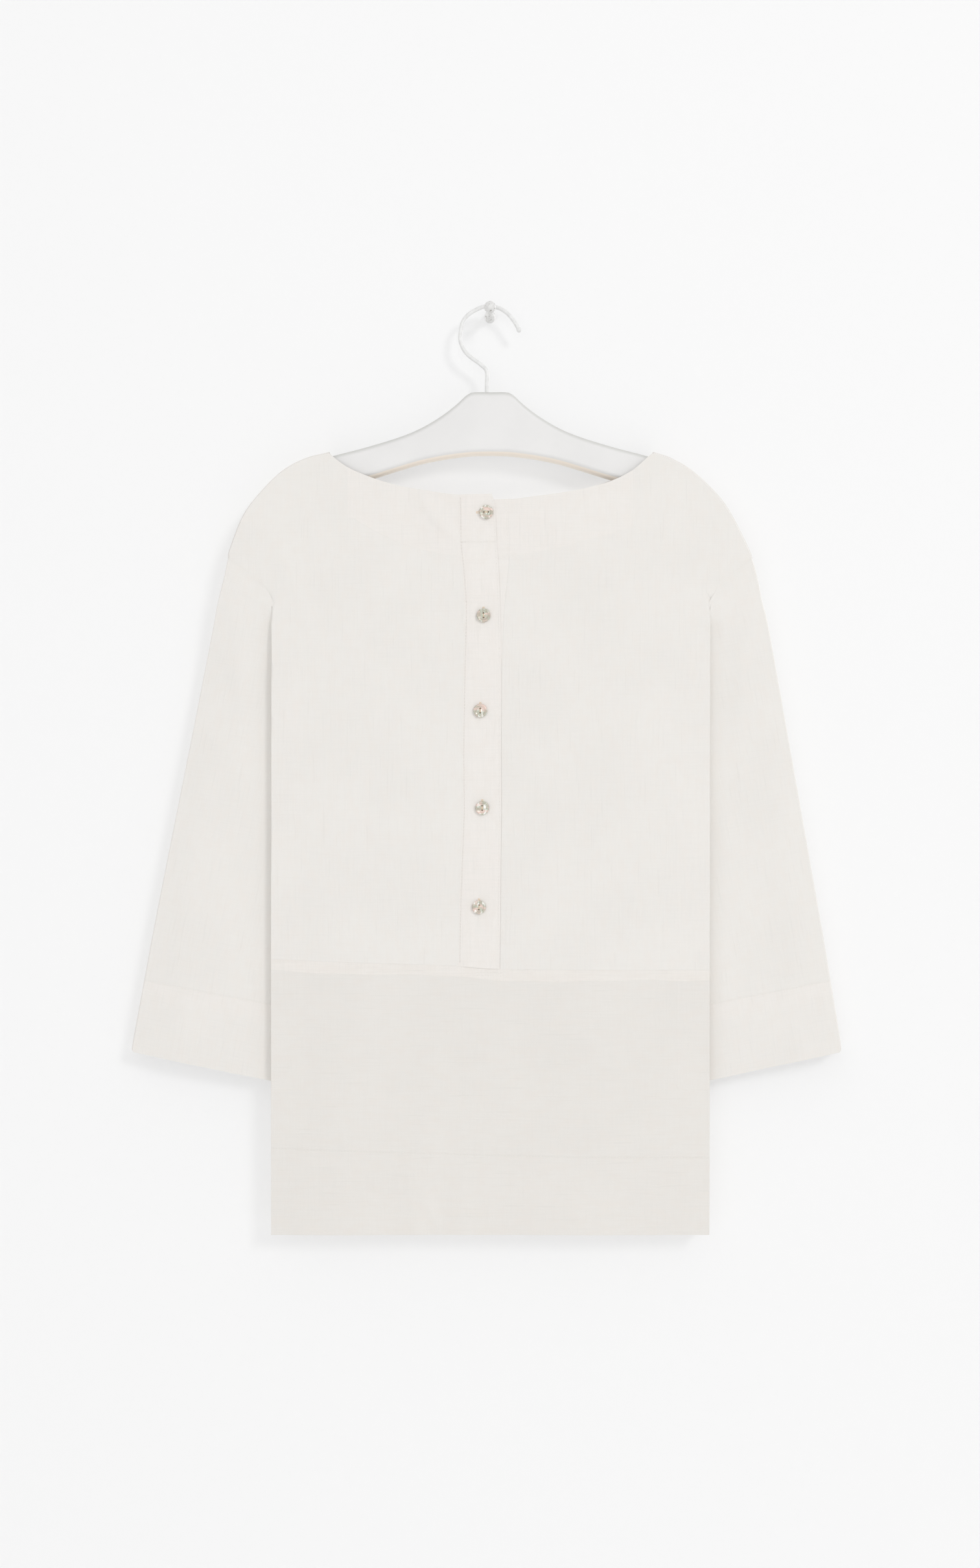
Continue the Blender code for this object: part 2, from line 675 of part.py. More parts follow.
def turned_object(name, profile, steps, material, collection):
    """A profile of (radius, height) points turned round Z, from the top down its outer side."""
    points = [(radius, 0.0, height) for radius, height in profile]
    edges = [(index, index + 1) for index in range(len(points) - 1)]
    mesh = bpy.data.meshes.new(name)
    mesh.from_pydata((np.array(points) * MM).tolist(), edges, [])
    mesh.materials.append(material)
    obj = bpy.data.objects.new(name, mesh)
    collection.objects.link(obj)
    screw = obj.modifiers.new("Turn", "SCREW")
    screw.steps = screw.render_steps = steps
    screw.use_merge_vertices = True
    screw.merge_threshold = 0.00001
    screw.use_smooth_shade = True
    return obj


def wall_peg(material, collection):
    """The turned peg, which stands out from the wall and ends in a ball."""
    neck_angle = math.acos(PEG_STEM_RADIUS / PEG_BALL_RADIUS)
    angles = np.linspace(math.pi / 2, -neck_angle, PEG_BALL_STEPS)
    radii = PEG_BALL_RADIUS * np.cos(angles)
    radii[0] = 0.0
    ball = list(zip(radii, PEG_BALL_PLACE + PEG_BALL_RADIUS * np.sin(angles)))
    obj = turned_object("wall_peg", ball + list(PEG_BASE_ROWS), PEG_STEPS, material, collection)
    obj.rotation_euler.x = math.pi / 2
    return obj


def hole_cutter(cutters):
    """The two small cylinders that cut a button's holes."""
    holes = []
    for side in (-1, 1):
        bpy.ops.mesh.primitive_cylinder_add(
            vertices=BUTTON_HOLE_SIDES,
            radius=BUTTON_HOLE_RADIUS * MM,
            depth=BUTTON_HOLE_DEPTH * MM,
            location=(0, 0, side * BUTTON_HOLE_PLACE * MM),
        )
        hole = bpy.context.active_object
        hole.rotation_euler.x = math.pi / 2
        for holder in list(hole.users_collection):
            holder.objects.unlink(hole)
        cutters.objects.link(hole)
        hole.hide_render = True
        hole.display_type = "WIRE"
        holes.append(hole)
    return holes


def button(number, across, drop, turn, material, collection, cutters):
    """A two-hole button that lies just in front of the upper band."""
    depth = body_depth(np.array([[across, drop]]), -1, SEAM_GAP + BAND_WALL)[0] - SEAM_GAP
    obj = turned_object(f"button_{number}", BUTTON_PROFILE, BUTTON_STEPS, material, collection)
    obj.rotation_euler.x = math.pi / 2
    holder = bpy.data.objects.new(f"button_{number}_place", None)
    collection.objects.link(holder)
    holder.location = (across * MM, depth * MM, -drop * MM)
    holder.rotation_euler.y = math.radians(turn)
    obj.parent = holder
    for hole in hole_cutter(cutters):
        hole.name = f"button_{number}_{hole.name}"
        hole.parent = holder
        cut = obj.modifiers.new("Hole", "BOOLEAN")
        cut.operation = "DIFFERENCE"
        cut.object = hole
    return obj


def build():
    clear_scene()
    blouse = new_collection("blouse_on_hanger")
    cutters = new_collection("cutters", hidden=True)
    linen = new_material("linen", (0.82, 0.80, 0.76), 0.85)
    cross_linen = new_material("cross_grain_linen", (0.79, 0.77, 0.72), 0.85)
    band_linen = new_material("double_linen", (0.86, 0.82, 0.78), 0.85)
    shell = new_material("mother_of_pearl", (0.62, 0.58, 0.52), 0.25)
    satin = new_material("satin_white", (0.82, 0.82, 0.82), 0.45)
    wire = new_material("white_wire", (0.80, 0.80, 0.79), 0.35)
    wood = new_material("painted_wood", (0.72, 0.71, 0.70), 0.6)

    front_half("front_left", -1, linen, blouse)
    front_half("front_right", 1, linen, blouse)
    back_panel(linen, blouse)
    sleeve("sleeve_left", -1, linen, blouse)
    sleeve("sleeve_right", 1, linen, blouse)
    lower_band("front_band", -1, cross_linen, blouse)
    lower_band("back_band", 1, cross_linen, blouse)

    over_edges, out = ((1, 0.0), (2, 0.0)), SEAM_GAP + BAND_WALL
    button_band("placket_over", *over_edges, OVER_BAND_TOP_DROPS, out, BAND_WALL, band_linen, blouse)
    under_edges = ((1, UNDER_BAND_INSET), (3, 0.0))
    button_band("placket_under", *under_edges, UNDER_BAND_TOP_DROPS, 0.0, UNDER_BAND_WALL, band_linen, blouse)
    for name, ends in zip(("neck_facing_left", "neck_facing_right"), FACING_ENDS):
        neck_facing(name, ends, band_linen, blouse)

    for number, (across, drop, turn) in enumerate(BUTTON_ROWS, start=1):
        button(number, across, drop, turn, shell, blouse, cutters)
    hanger_body(satin, blouse)
    hanger_hook(wire, blouse)
    hook_tip(wire, blouse)
    wall_peg(wood, blouse)


build()
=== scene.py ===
# %% [markdown]
# # A thin linen blouse on a shaped hanger
# The blouse hangs flat, so nearly all that shows of it is cloth: fold lines, seams, doubled layers and
# the slubs of the yarn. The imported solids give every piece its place. This script dresses them.

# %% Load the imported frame
import math
import bpy
import numpy as np
from mathutils import Matrix


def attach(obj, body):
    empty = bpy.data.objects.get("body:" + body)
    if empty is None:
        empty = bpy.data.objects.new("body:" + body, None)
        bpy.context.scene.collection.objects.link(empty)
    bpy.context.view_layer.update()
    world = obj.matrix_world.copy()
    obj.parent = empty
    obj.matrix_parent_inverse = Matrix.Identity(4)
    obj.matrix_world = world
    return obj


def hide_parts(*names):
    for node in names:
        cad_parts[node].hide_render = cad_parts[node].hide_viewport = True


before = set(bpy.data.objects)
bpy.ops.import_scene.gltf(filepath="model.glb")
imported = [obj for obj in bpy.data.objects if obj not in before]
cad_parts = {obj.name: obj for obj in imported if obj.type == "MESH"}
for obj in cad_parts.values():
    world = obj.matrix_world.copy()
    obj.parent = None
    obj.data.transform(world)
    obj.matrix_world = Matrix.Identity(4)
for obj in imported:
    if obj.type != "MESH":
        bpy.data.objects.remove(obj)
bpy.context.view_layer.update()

# %% [markdown]
# ## Camera
# The photograph looks straight at the wall, level with the middle of the blouse. It doesn't show how far
# away the camera stood, so 1.4 m is taken. A lens is worked out from that distance and the real size that
# fills the frame.

# %% Camera at the photograph's angle
MM = 0.001
CLOTH_PLANE = -30.0
CAMERA_DISTANCE = 1400.0
CAMERA_DROP = 441.0
FRAME_HEIGHT = 1452.0
SENSOR_MM = 36.0

camera_data = bpy.data.cameras.new("front_camera")
camera_data.sensor_width = SENSOR_MM
camera_data.lens = SENSOR_MM * CAMERA_DISTANCE / FRAME_HEIGHT
camera = bpy.data.objects.new("front_camera", camera_data)
camera.location = (0.0, (CLOTH_PLANE - CAMERA_DISTANCE) * MM, -CAMERA_DROP * MM)
camera.rotation_euler = (math.pi / 2, 0.0, 0.0)
bpy.context.scene.collection.objects.link(camera)
bpy.context.scene.camera = camera
bpy.context.scene.view_settings.view_transform = "Standard"
print(f"lens {camera_data.lens:.1f} mm")


# %% [markdown]
# ## A short way to write materials
# Shader maths reads best as ordinary expressions. `Socket` wraps the output of a node and overloads the
# operators, and `Recipe.node` adds any other node by its type, its settings and its inputs.

# %% Shader helpers
class Socket:
    def __init__(self, recipe, output):
        self.recipe, self.output = recipe, output

    def math(self, operation, *others):
        inputs = dict(enumerate((self, *others)))
        return self.recipe.node("ShaderNodeMath", {"operation": operation}, inputs)

    def __add__(self, other):
        return self.math("ADD", other)

    def __sub__(self, other):
        return self.math("SUBTRACT", other)

    def __mul__(self, other):
        return self.math("MULTIPLY", other)

    def __rsub__(self, other):
        return (self * -1.0) + other

    __radd__ = __add__
    __rmul__ = __mul__

    def step(self, low, high):
        """0 below low and 1 above high, smooth between them."""
        settings = {"interpolation_type": "SMOOTHSTEP"}
        inputs = {"Value": self, "From Min": low, "From Max": high}
        return self.recipe.node("ShaderNodeMapRange", settings, inputs)

    def absolute(self):
        return self.math("ABSOLUTE")


class Recipe:
    def __init__(self, name):
        self.material = bpy.data.materials.new(name)
        self.material.use_nodes = True
        self.nodes = self.material.node_tree.nodes
        self.links = self.material.node_tree.links
        self.shader = self.nodes["Principled BSDF"]

    def node(self, kind, settings=None, inputs=None, output=0):
        made = self.nodes.new(kind)
        for key, value in (settings or {}).items():
            setattr(made, key, value)
        for key, value in (inputs or {}).items():
            self.plug(made.inputs[key], value)
        return Socket(self, made.outputs[output])

    def plug(self, socket, value):
        if isinstance(value, Socket):
            self.links.new(value.output, socket)
        else:
            socket.default_value = value

    def surface(self, **values):
        for name, value in values.items():
            self.plug(self.shader.inputs[name.replace("_", " ")], value)
        return self.material

    def place(self):
        """The object coordinates of the surface."""
        return self.node("ShaderNodeTexCoord", output="Object")

    def attribute(self, name):
        return self.node("ShaderNodeAttribute", {"attribute_name": name}, output="Fac")

    def noise(self, place, scale, detail=2.0, roughness=0.5):
        """Noise stretched by a scale for each axis, in waves a metre."""
        mapped = self.node("ShaderNodeMapping", None, {"Vector": place, "Scale": scale})
        inputs = {"Vector": mapped, "Scale": 1.0, "Detail": detail, "Roughness": roughness}
        return self.node("ShaderNodeTexNoise", None, inputs)

    def blend(self, share, first, second):
        """A colour that goes from the first to the second as the share goes from 0 to 1."""
        made = self.nodes.new("ShaderNodeMix")
        made.data_type = "RGBA"
        made.clamp_factor = True
        self.plug(made.inputs["Factor"], share)
        colour_inputs = [i for i in made.inputs if i.type == "RGBA"]
        for socket, value in zip(colour_inputs, (first, second)):
            self.plug(socket, (*value, 1.0) if isinstance(value, tuple) else value)
        return Socket(self, next(o for o in made.outputs if o.type == "RGBA"))

    def bump(self, height, distance, strength=1.0, normal=None):
        inputs = {"Height": height, "Distance": distance, "Strength": strength}
        if normal is not None:
            inputs["Normal"] = normal
        return self.node("ShaderNodeBump", None, inputs)


print("shader helpers ready")

# %% [markdown]
# ## Studio
# Soft light comes from the upper right, as the shadows left of the sleeves and hem show. A wide fill and
# a bright room keep the shadows pale. Two weak lights behind show the back in other views. The wall in the
# photograph is one even, nearly white tone, which a few lights can't give. So its paint also glows a little,
# and the shadows fall on the rest of its brightness. Its back side is clear, so that the blouse can also be
# seen from behind.

# %% Wall and floor
WALL_COLOUR, WALL_GLOW, FLOOR_COLOUR = (0.55, 0.55, 0.55), 0.355, (0.86, 0.86, 0.86)
STAGE_SIZE, WALL_DEPTH, FLOOR_DROP = 12.0, 0.0006, 1.30
ROOM_STRENGTH = 0.73
WHITE = (1.0, 1.0, 1.0, 1.0)


def deselect():
    if bpy.context.mode != "OBJECT":
        bpy.ops.object.mode_set(mode="OBJECT")
    bpy.ops.object.select_all(action="DESELECT")


def stage_plane(name, location, rotation, material):
    deselect()
    bpy.ops.mesh.primitive_plane_add(size=STAGE_SIZE, location=location, rotation=rotation)
    plane = bpy.context.active_object
    plane.name = name
    plane.data.materials.append(material)
    return plane


def wall_material():
    """Matt paint that glows a little in front, and is clear from behind."""
    recipe = Recipe("wall_paint")
    recipe.surface(
        Base_Color=(*WALL_COLOUR, 1.0), Roughness=0.9, Emission_Color=WHITE, Emission_Strength=WALL_GLOW,
    )
    paint = Socket(recipe, recipe.shader.outputs[0])
    seen_from_behind = recipe.node("ShaderNodeNewGeometry", output="Backfacing")
    clear = recipe.node("ShaderNodeBsdfTransparent")
    mixed = recipe.node("ShaderNodeMixShader", None, {0: seen_from_behind, 1: paint, 2: clear})
    recipe.links.new(mixed.output, recipe.nodes["Material Output"].inputs["Surface"])
    return recipe.material


floor_recipe = Recipe("floor_paint")
floor_recipe.surface(Base_Color=(*FLOOR_COLOUR, 1.0), Roughness=0.8)
wall = stage_plane("stage_wall", (0.0, WALL_DEPTH, 0.0), (math.pi / 2, 0.0, 0.0), wall_material())
wall.visible_shadow = False
stage_plane("stage_floor", (0.0, 0.0, -FLOOR_DROP), (0.0, 0.0, 0.0), floor_recipe.material)
print("stage: wall and floor")

# %% Lights
# Name, place, size and power
LIGHTS = (
    ("key_light", (3.0, -4.4, 2.1), 1.3, 68.0),
    ("fill_light", (-0.9, -4.0, -0.6), 3.6, 33.0),
    ("back_light_left", (-1.4, 1.9, 0.3), 1.4, 8.0),
    ("back_light_right", (1.5, 1.7, 0.5), 1.2, 12.0),
)


def area_light(name, location, size, power):
    data = bpy.data.lights.new(name, "AREA")
    data.size, data.energy = size, power
    light = bpy.data.objects.new(name, data)
    light.location = location
    aim = np.array((0.0, 0.0, -CAMERA_DROP * MM)) - np.array(location)
    light.rotation_euler = (
        math.atan2(math.hypot(aim[0], aim[1]), -aim[2]),
        0.0,
        math.atan2(aim[1], aim[0]) - math.pi / 2,
    )
    bpy.context.scene.collection.objects.link(light)


for row in LIGHTS:
    area_light(*row)

world = bpy.data.worlds.new("pale_room")
world.use_nodes = True
background = world.node_tree.nodes["Background"]
background.inputs["Color"].default_value = WHITE
background.inputs["Strength"].default_value = ROOM_STRENGTH
bpy.context.scene.world = world
print("lights:", [row[0] for row in LIGHTS])

# %% [markdown]
# ## The cut of the blouse
# The blouse is two layers, front and back, that turn into each other along soft folds at the shoulders
# and sides. So its outline is given by edges, as a cutter's pattern is. Sizes here are in millimetres: a
# drop is a distance below the peg's axis, and a depth is less than zero in front of the wall.

# %% Pattern edges
# Drop, and then the distance out from the middle on the left and on the right
SHOULDER_ROWS = (
    (232.2, 242.4, 242.6),
    (224.4, 241.2, 240.0),
    (193.8, 229.2, 224.7),
    (173.4, 214.8, 210.6),
    (151.8, 193.2, 188.0),
    (139.6, 171.0, 168.0),
    (134.0, 149.4, 151.8),
)
SIDE_ROWS = (
    (250.8, 216.6, 216.6),
    (260.4, 208.2, 211.0),
    (274.2, 203.4, 205.8),
    (286.0, 203.0, 204.6),
    (440.0, 203.2, 204.3),
    (608.0, 203.4, 204.0),
)
BAND_SIDE_ROWS = ((608.0, 203.4, 204.0), (777.0, 203.2, 203.9), (858.6, 203.1, 203.7))
SLEEVE_ROWS = (
    (232.8, 242.8, 243.0),
    (250.8, 246.6, 247.8),
    (275.4, 252.6, 252.9),
    (314.4, 259.8, 261.3),
    (555.0, 307.2, 303.6),
    (619.8, 319.2, 314.4),
    (684.0, 330.9, 324.7),
    (690.6, 330.6, 324.0),
)
# Across, less than zero on the left, and drop
FRONT_NECK_ROWS = (
    (-149.4, 134.0), (-145.8, 137.4), (-130.8, 148.2), (-106.2, 158.4), (-83.4, 165.0), (-62.0, 168.6),
    (-30.6, 173.0), (1.8, 172.4), (17.4, 177.0), (39.6, 174.6), (62.4, 171.6), (86.4, 167.4),
    (112.2, 160.2), (131.4, 150.6), (146.4, 137.8), (151.8, 134.0),
)
BACK_NECK_ROWS = (
    (-149.4, 134.0), (-144.0, 139.0), (-128.0, 151.5), (-100.0, 163.5), (-60.0, 173.5), (0.0, 178.5),
    (60.0, 173.5), (102.0, 163.5), (130.0, 151.5), (146.4, 139.0), (151.8, 134.0),
)
WAIST_ROWS = (
    (-205.0, 603.0), (-138.0, 606.0), (-44.0, 609.0), (10.0, 612.4), (94.0, 613.2), (205.0, 613.2),
)
HEM_LINE_ROWS = ((-205.0, 778.4), (-44.0, 783.6), (60.0, 786.0), (205.0, 787.2))
HEM_DROP = 858.6
FACING_ROWS = (
    (-126.0, 195.0), (-115.2, 202.0), (-79.2, 219.0), (-33.6, 229.5), (19.2, 230.0), (63.6, 222.0),
    (128.0, 204.0),
)
# Distance out from the middle and drop, for both sleeves
SLEEVE_INNER_ROWS = (
    (217.3, 251.6), (209.9, 260.2), (205.6, 268.0), (199.0, 282.0), (189.0, 304.0), (179.0, 334.0),
    (174.0, 368.0), (173.0, 400.0), (173.0, 560.0), (173.0, 724.0),
)
# Drop, left edge of the upper button band, its right edge, right edge of the band under it
PLACKET_ROWS = (
    (172.4, -28.8, 1.8, 17.4),
    (181.0, -28.8, 4.6, 16.4),
    (220.0, -28.2, 6.6, 18.0),
    (240.0, -25.8, 8.0, 17.4),
    (272.0, -23.4, 9.3, 13.8),
    (292.0, -23.4, 9.9, 12.3),
    (336.0, -24.6, 10.2, 10.9),
    (408.0, -25.8, 10.2, 10.4),
    (465.0, -25.2, 10.5, 10.8),
    (513.0, -27.0, 9.9, 10.2),
    (562.0, -28.8, 9.6, 9.9),
    (608.0, -29.4, 9.0, 9.3),
)
OVER_BAND_TOP_DROPS, UNDER_BAND_TOP_DROPS = (173.0, 172.4), (178.4, 177.0)

print("hem width", BAND_SIDE_ROWS[-1][1] + BAND_SIDE_ROWS[-1][2], "mm")


# %% Curves through the pattern's points
LINE_POINTS = 80


def mix(first, second, share):
    return first + (second - first) * share


def ease(share):
    share = np.clip(share, 0.0, 1.0)
    return share * share * (3.0 - 2.0 * share)


def smooth_curve(rows, steps=8):
    """A fine curve through rows of points, rounded between them."""
    rows = np.array(rows, float)
    padded = np.vstack([2 * rows[0] - rows[1], rows, 2 * rows[-1] - rows[-2]])
    curve = []
    for before, start, end, after in zip(padded, padded[1:], padded[2:], padded[3:]):
        for t in np.arange(steps) / steps:
            bend = (2 * before - 5 * start + 4 * end - after) * t * t
            twist = (3 * start - before - 3 * end + after) * t * t * t
            curve.append(start + ((end - before) * t + bend + twist) / 2)
    curve.append(rows[-1])
    return np.array(curve)


def lengths_along(curve):
    return np.concatenate([[0.0], np.cumsum(np.linalg.norm(np.diff(curve, axis=0), axis=1))])


def points_at(curve, shares):
    """The points at these shares of the curve's length."""
    lengths = lengths_along(curve)
    places = np.asarray(shares) * lengths[-1]
    return np.stack([np.interp(places, lengths, column) for column in curve.T], axis=-1)


def shares_from(curve, first, count):
    """Shares of the curve's length at the first distances, then at even steps to its end."""
    first = np.array(first) / lengths_along(curve)[-1]
    return np.concatenate([first, np.linspace(first[-1], 1.0, count + 1)[1:]])


def shares_from_both_ends(curve, first, count):
    first = np.array(first) / lengths_along(curve)[-1]
    middle = np.linspace(first[-1], 1.0 - first[-1], count + 1)[1:-1]
    return np.concatenate([first, middle, 1.0 - first[::-1]])


def side_curve(rows, side):
    """The (across, drop) curve of one side, -1 on the left and 1 on the right."""
    column = 1 if side < 0 else 2
    return smooth_curve([(side * row[column], row[0]) for row in rows])


def stretch_of(rows, first, last):
    """The part of a curve through (across, drop) rows between two distances across."""
    curve = smooth_curve(rows)
    across = np.linspace(first, last, LINE_POINTS)
    return np.stack([across, np.interp(across, curve[:, 0], curve[:, 1])], axis=-1)


def drop_at(rows, across):
    curve = smooth_curve(rows)
    return np.interp(across, curve[:, 0], curve[:, 1])


def placket_edge(drop, column):
    table = np.array(PLACKET_ROWS)
    return np.interp(drop, table[:, 0], table[:, column])


print("neck opening", FRONT_NECK_ROWS[-1][0] - FRONT_NECK_ROWS[0][0], "mm wide")

# %% [markdown]
# ## How the cloth hangs
# Pressed linen over a hanger stays nearly flat. What can be seen are soft ridges and troughs: a short
# wrinkle left of the top button, long shallow folds below the shoulders, and small waves at the hem. They
# are placed one by one, and the back, which the photograph doesn't show, has like ones of its own.

# %% Soft folds
# Start across and drop, end across and drop, half width, height
FRONT_FOLDS = (
    (-62.0, 178.0, -43.0, 201.0, 8.0, 1.2),
    (-40.0, 770.0, -48.0, 856.0, 13.0, -1.2),
    (-128.0, 640.0, -132.0, 850.0, 34.0, 1.4),
    (88.0, 650.0, 96.0, 850.0, 38.0, 1.3),
    (-120.0, 250.0, -150.0, 560.0, 34.0, 1.2),
    (110.0, 260.0, 140.0, 560.0, 36.0, 1.2),
    (-59.0, 179.0, -54.0, 193.0, 4.0, 0.5),
    (-54.0, 193.0, -36.0, 211.0, 4.2, 0.55),
    (-66.0, 196.0, -50.0, 214.0, 6.0, 0.4),
    (-172.0, 176.0, -150.0, 262.0, 9.0, 0.5),
    (168.0, 172.0, 152.0, 250.0, 10.0, 0.5),
    (-196.0, 226.0, -168.0, 292.0, 8.0, 0.6),
    (198.0, 224.0, 172.0, 288.0, 8.0, 0.6),
    (-220.0, 240.0, -227.0, 231.0, 3.5, -0.5),
    (220.0, 240.0, 227.0, 231.0, 3.5, -0.5),
    (-86.0, 300.0, -92.0, 470.0, 14.0, 0.4),
    (64.0, 330.0, 58.0, 540.0, 15.0, 0.4),
    (-60.0, 828.0, -46.0, 856.0, 5.0, 0.9),
    (-50.0, 843.0, -37.0, 853.0, 2.8, 0.5),
    (-74.0, 800.0, -70.0, 857.0, 9.0, 0.7),
    (-22.0, 812.0, -28.0, 857.0, 8.0, 0.5),
    (38.0, 806.0, 44.0, 857.0, 12.0, 0.4),
    (150.0, 790.0, 146.0, 857.0, 12.0, 0.5),
    (-176.0, 800.0, -172.0, 857.0, 10.0, 0.4),
    (10.0, 640.0, 16.0, 760.0, 16.0, 0.4),
)
BACK_FOLDS = (
    (-70.0, 260.0, -60.0, 590.0, 30.0, 1.4),
    (75.0, 300.0, 85.0, 600.0, 34.0, 1.2),
    (10.0, 420.0, 0.0, 600.0, 24.0, -1.2),
    (-70.0, 640.0, -78.0, 850.0, 36.0, 1.3),
    (70.0, 650.0, 60.0, 850.0, 32.0, 1.4),
    (-118.0, 186.0, -88.0, 280.0, 12.0, 0.8),
    (112.0, 188.0, 90.0, 290.0, 13.0, 0.8),
    (-24.0, 196.0, -18.0, 330.0, 9.0, 0.7),
    (36.0, 200.0, 30.0, 310.0, 8.0, 0.6),
    (-140.0, 300.0, -128.0, 520.0, 12.0, 0.6),
    (138.0, 320.0, 130.0, 560.0, 13.0, 0.6),
    (-30.0, 700.0, -34.0, 857.0, 9.0, 0.8),
    (22.0, 740.0, 16.0, 857.0, 8.0, 0.7),
    (112.0, 760.0, 118.0, 857.0, 11.0, 0.6),
    (-120.0, 770.0, -112.0, 857.0, 10.0, 0.6),
    (-52.0, 826.0, -38.0, 855.0, 4.0, 0.5),
)

print(len(FRONT_FOLDS), "folds in front,", len(BACK_FOLDS), "behind")

# %% Depth of the cloth
FOLD_GAP, FOLD_RADIUS, FOLD_SLACK = 0.2, 0.6, 0.12
SHOULDER_MIDDLE, SHOULDER_HALF = -18.0, 12.5
BODY_MIDDLE, BODY_HALF = -21.25, 8.75
HANGER_END_DROP, BODY_START_DROP = 170.0, 232.0
CREASE_START_DROP, CREASE_FULL_DROP, SOFT_CREASE = 251.0, 292.0, 9.0
SHOULDER_EDGES = [side_curve(SHOULDER_ROWS, side) for side in (-1, 1)]
SIDE_EDGES = [side_curve(rows, side) for side in (-1, 1) for rows in (SIDE_ROWS, BAND_SIDE_ROWS)]


def distance_to(points, curve):
    """The distance from each point to the nearest place on a curve."""
    flat = points.reshape(-1, 1, 2)
    start, run = curve[None, :-1], np.diff(curve, axis=0)[None]
    share = ((flat - start) * run).sum(-1) / np.maximum((run * run).sum(-1), 1e-9)
    nearest = start + run * np.clip(share, 0.0, 1.0)[..., None]
    return np.linalg.norm(flat - nearest, axis=-1).min(axis=1).reshape(points.shape[:-1])


def nearest_distance(points, edges):
    return np.min([distance_to(points, edge) for edge in edges], axis=0)


def fold_round(distance, radius=FOLD_RADIUS):
    """0 on a folded edge, rising round a quarter circle to 1 at the fold's radius."""
    share = np.clip((distance - FOLD_SLACK) / radius, 0.0, 1.0)
    return np.sqrt(1.0 - (1.0 - share) ** 2)


def free_below_armhole(drop):
    """0 where a side is joined to its sleeve, rising to 1 where it hangs free."""
    return ease((drop - CREASE_START_DROP) / (CREASE_FULL_DROP - CREASE_START_DROP))


def crease(drop, distance):
    """The round of a side's fold, which starts as flat cloth at the armhole and deepens below it."""
    free = free_below_armhole(drop)
    return mix(1.0, fold_round(distance, mix(SOFT_CREASE, FOLD_RADIUS, ease(free))), free)


def fold_relief(points, folds):
    """How far soft folds lift the cloth at these points."""
    relief = np.zeros(points.shape[:-1])
    for x0, d0, x1, d1, half_width, height in folds:
        start, run = np.array((x0, d0)), np.array((x1 - x0, d1 - d0))
        share = ((points - start) @ run) / (run @ run)
        nearest = start + np.clip(share, 0.0, 1.0)[..., None] * run
        away = np.linalg.norm(points - nearest, axis=-1)
        relief += height * np.exp(-((away / half_width) ** 2))
    return relief


def body_depth(points, face, out=0.0, folded=True):
    """The depth of the body's outer surface, moved out by a distance; face is -1 in front and 1 behind."""
    points = np.asarray(points, float)
    spread = ease((points[..., 1] - HANGER_END_DROP) / (BODY_START_DROP - HANGER_END_DROP))
    middle = mix(SHOULDER_MIDDLE, BODY_MIDDLE, spread)
    half = mix(SHOULDER_HALF, BODY_HALF, spread)
    rise = np.minimum(
        fold_round(nearest_distance(points, SHOULDER_EDGES)),
        crease(points[..., 1], nearest_distance(points, SIDE_EDGES)),
    )
    folds = FRONT_FOLDS if face < 0 else BACK_FOLDS
    relief = fold_relief(points, folds) * rise if folded else 0.0
    return middle + face * (FOLD_GAP + (half - FOLD_GAP) * rise + relief + out)


print("depth at the chest:", round(float(body_depth([[0.0, 300.0]], -1)[0]), 1), "mm")

# %% [markdown]
# ## What the photograph does to the outline
# A near camera draws what lies further back smaller. The outline was read in the plane of the front, so the
# sleeves and shoulders behind that plane are drawn apart, to their size at their own depth. Below the
# armholes the front's edge hangs over the sleeves. There the cloth of the side turns in a little under it,
# which gives the edge its thin, soft shadow.

# %% Places of the cloth
UPRIGHT_DROP, LEVEL_DROP = 300.0, 450.0
SIDE_TUCK = 1.4


def drawn_apart(places):
    """Places in mm, given the size that they have at their own depth. Below the chest lengths stay."""
    places = np.array(places, float)
    growth = np.maximum((places[..., 1] - CLOTH_PLANE) / CAMERA_DISTANCE, 0.0)
    high_up = 1.0 - ease((-places[..., 2] - UPRIGHT_DROP) / (LEVEL_DROP - UPRIGHT_DROP))
    places[..., 0] *= 1.0 + growth
    places[..., 2] += (places[..., 2] + CAMERA_DROP) * growth * high_up
    return places


def side_tucked(grid, depth, reach):
    """Places of the body in mm, whose outermost cloth turns in under its edge over the sleeves."""
    places = np.stack([grid[..., 0], depth, -grid[..., 1]], axis=-1)
    away = nearest_distance(grid, SIDE_EDGES)
    free = free_below_armhole(grid[..., 1])
    tucked = places.copy()
    tucked[..., 0] -= np.sign(grid[..., 0]) * SIDE_TUCK * (1.0 - ease(away / reach))
    return mix(drawn_apart(places), tucked, free[..., None])


wall_growth = -CLOTH_PLANE / CAMERA_DISTANCE * 100
print(f"what touches the wall is drawn {wall_growth:.1f} percent larger")

# %% [markdown]
# ## Linen
# The yarn is off-white with a warm tint. Single cloth shows thick and thin yarns as short streaks along
# the piece, a little lighter and darker. Doubled cloth, at facings, button bands and turned-up hems, is
# denser, so lighter and slightly pink. Three attributes in millimetres carry what the maker did: `double` is
# the distance into dense doubled cloth, `backed` the distance into cloth with one layer close behind it,
# and `seam` the distance from a line of stitching.

# %% Linen materials
SINGLE_LINEN = (0.796, 0.775, 0.742)
DOUBLE_LINEN = (0.828, 0.792, 0.757)
CROSS_LINEN = (0.768, 0.745, 0.710)
CROSS_DOUBLE_LINEN = (0.820, 0.785, 0.745)


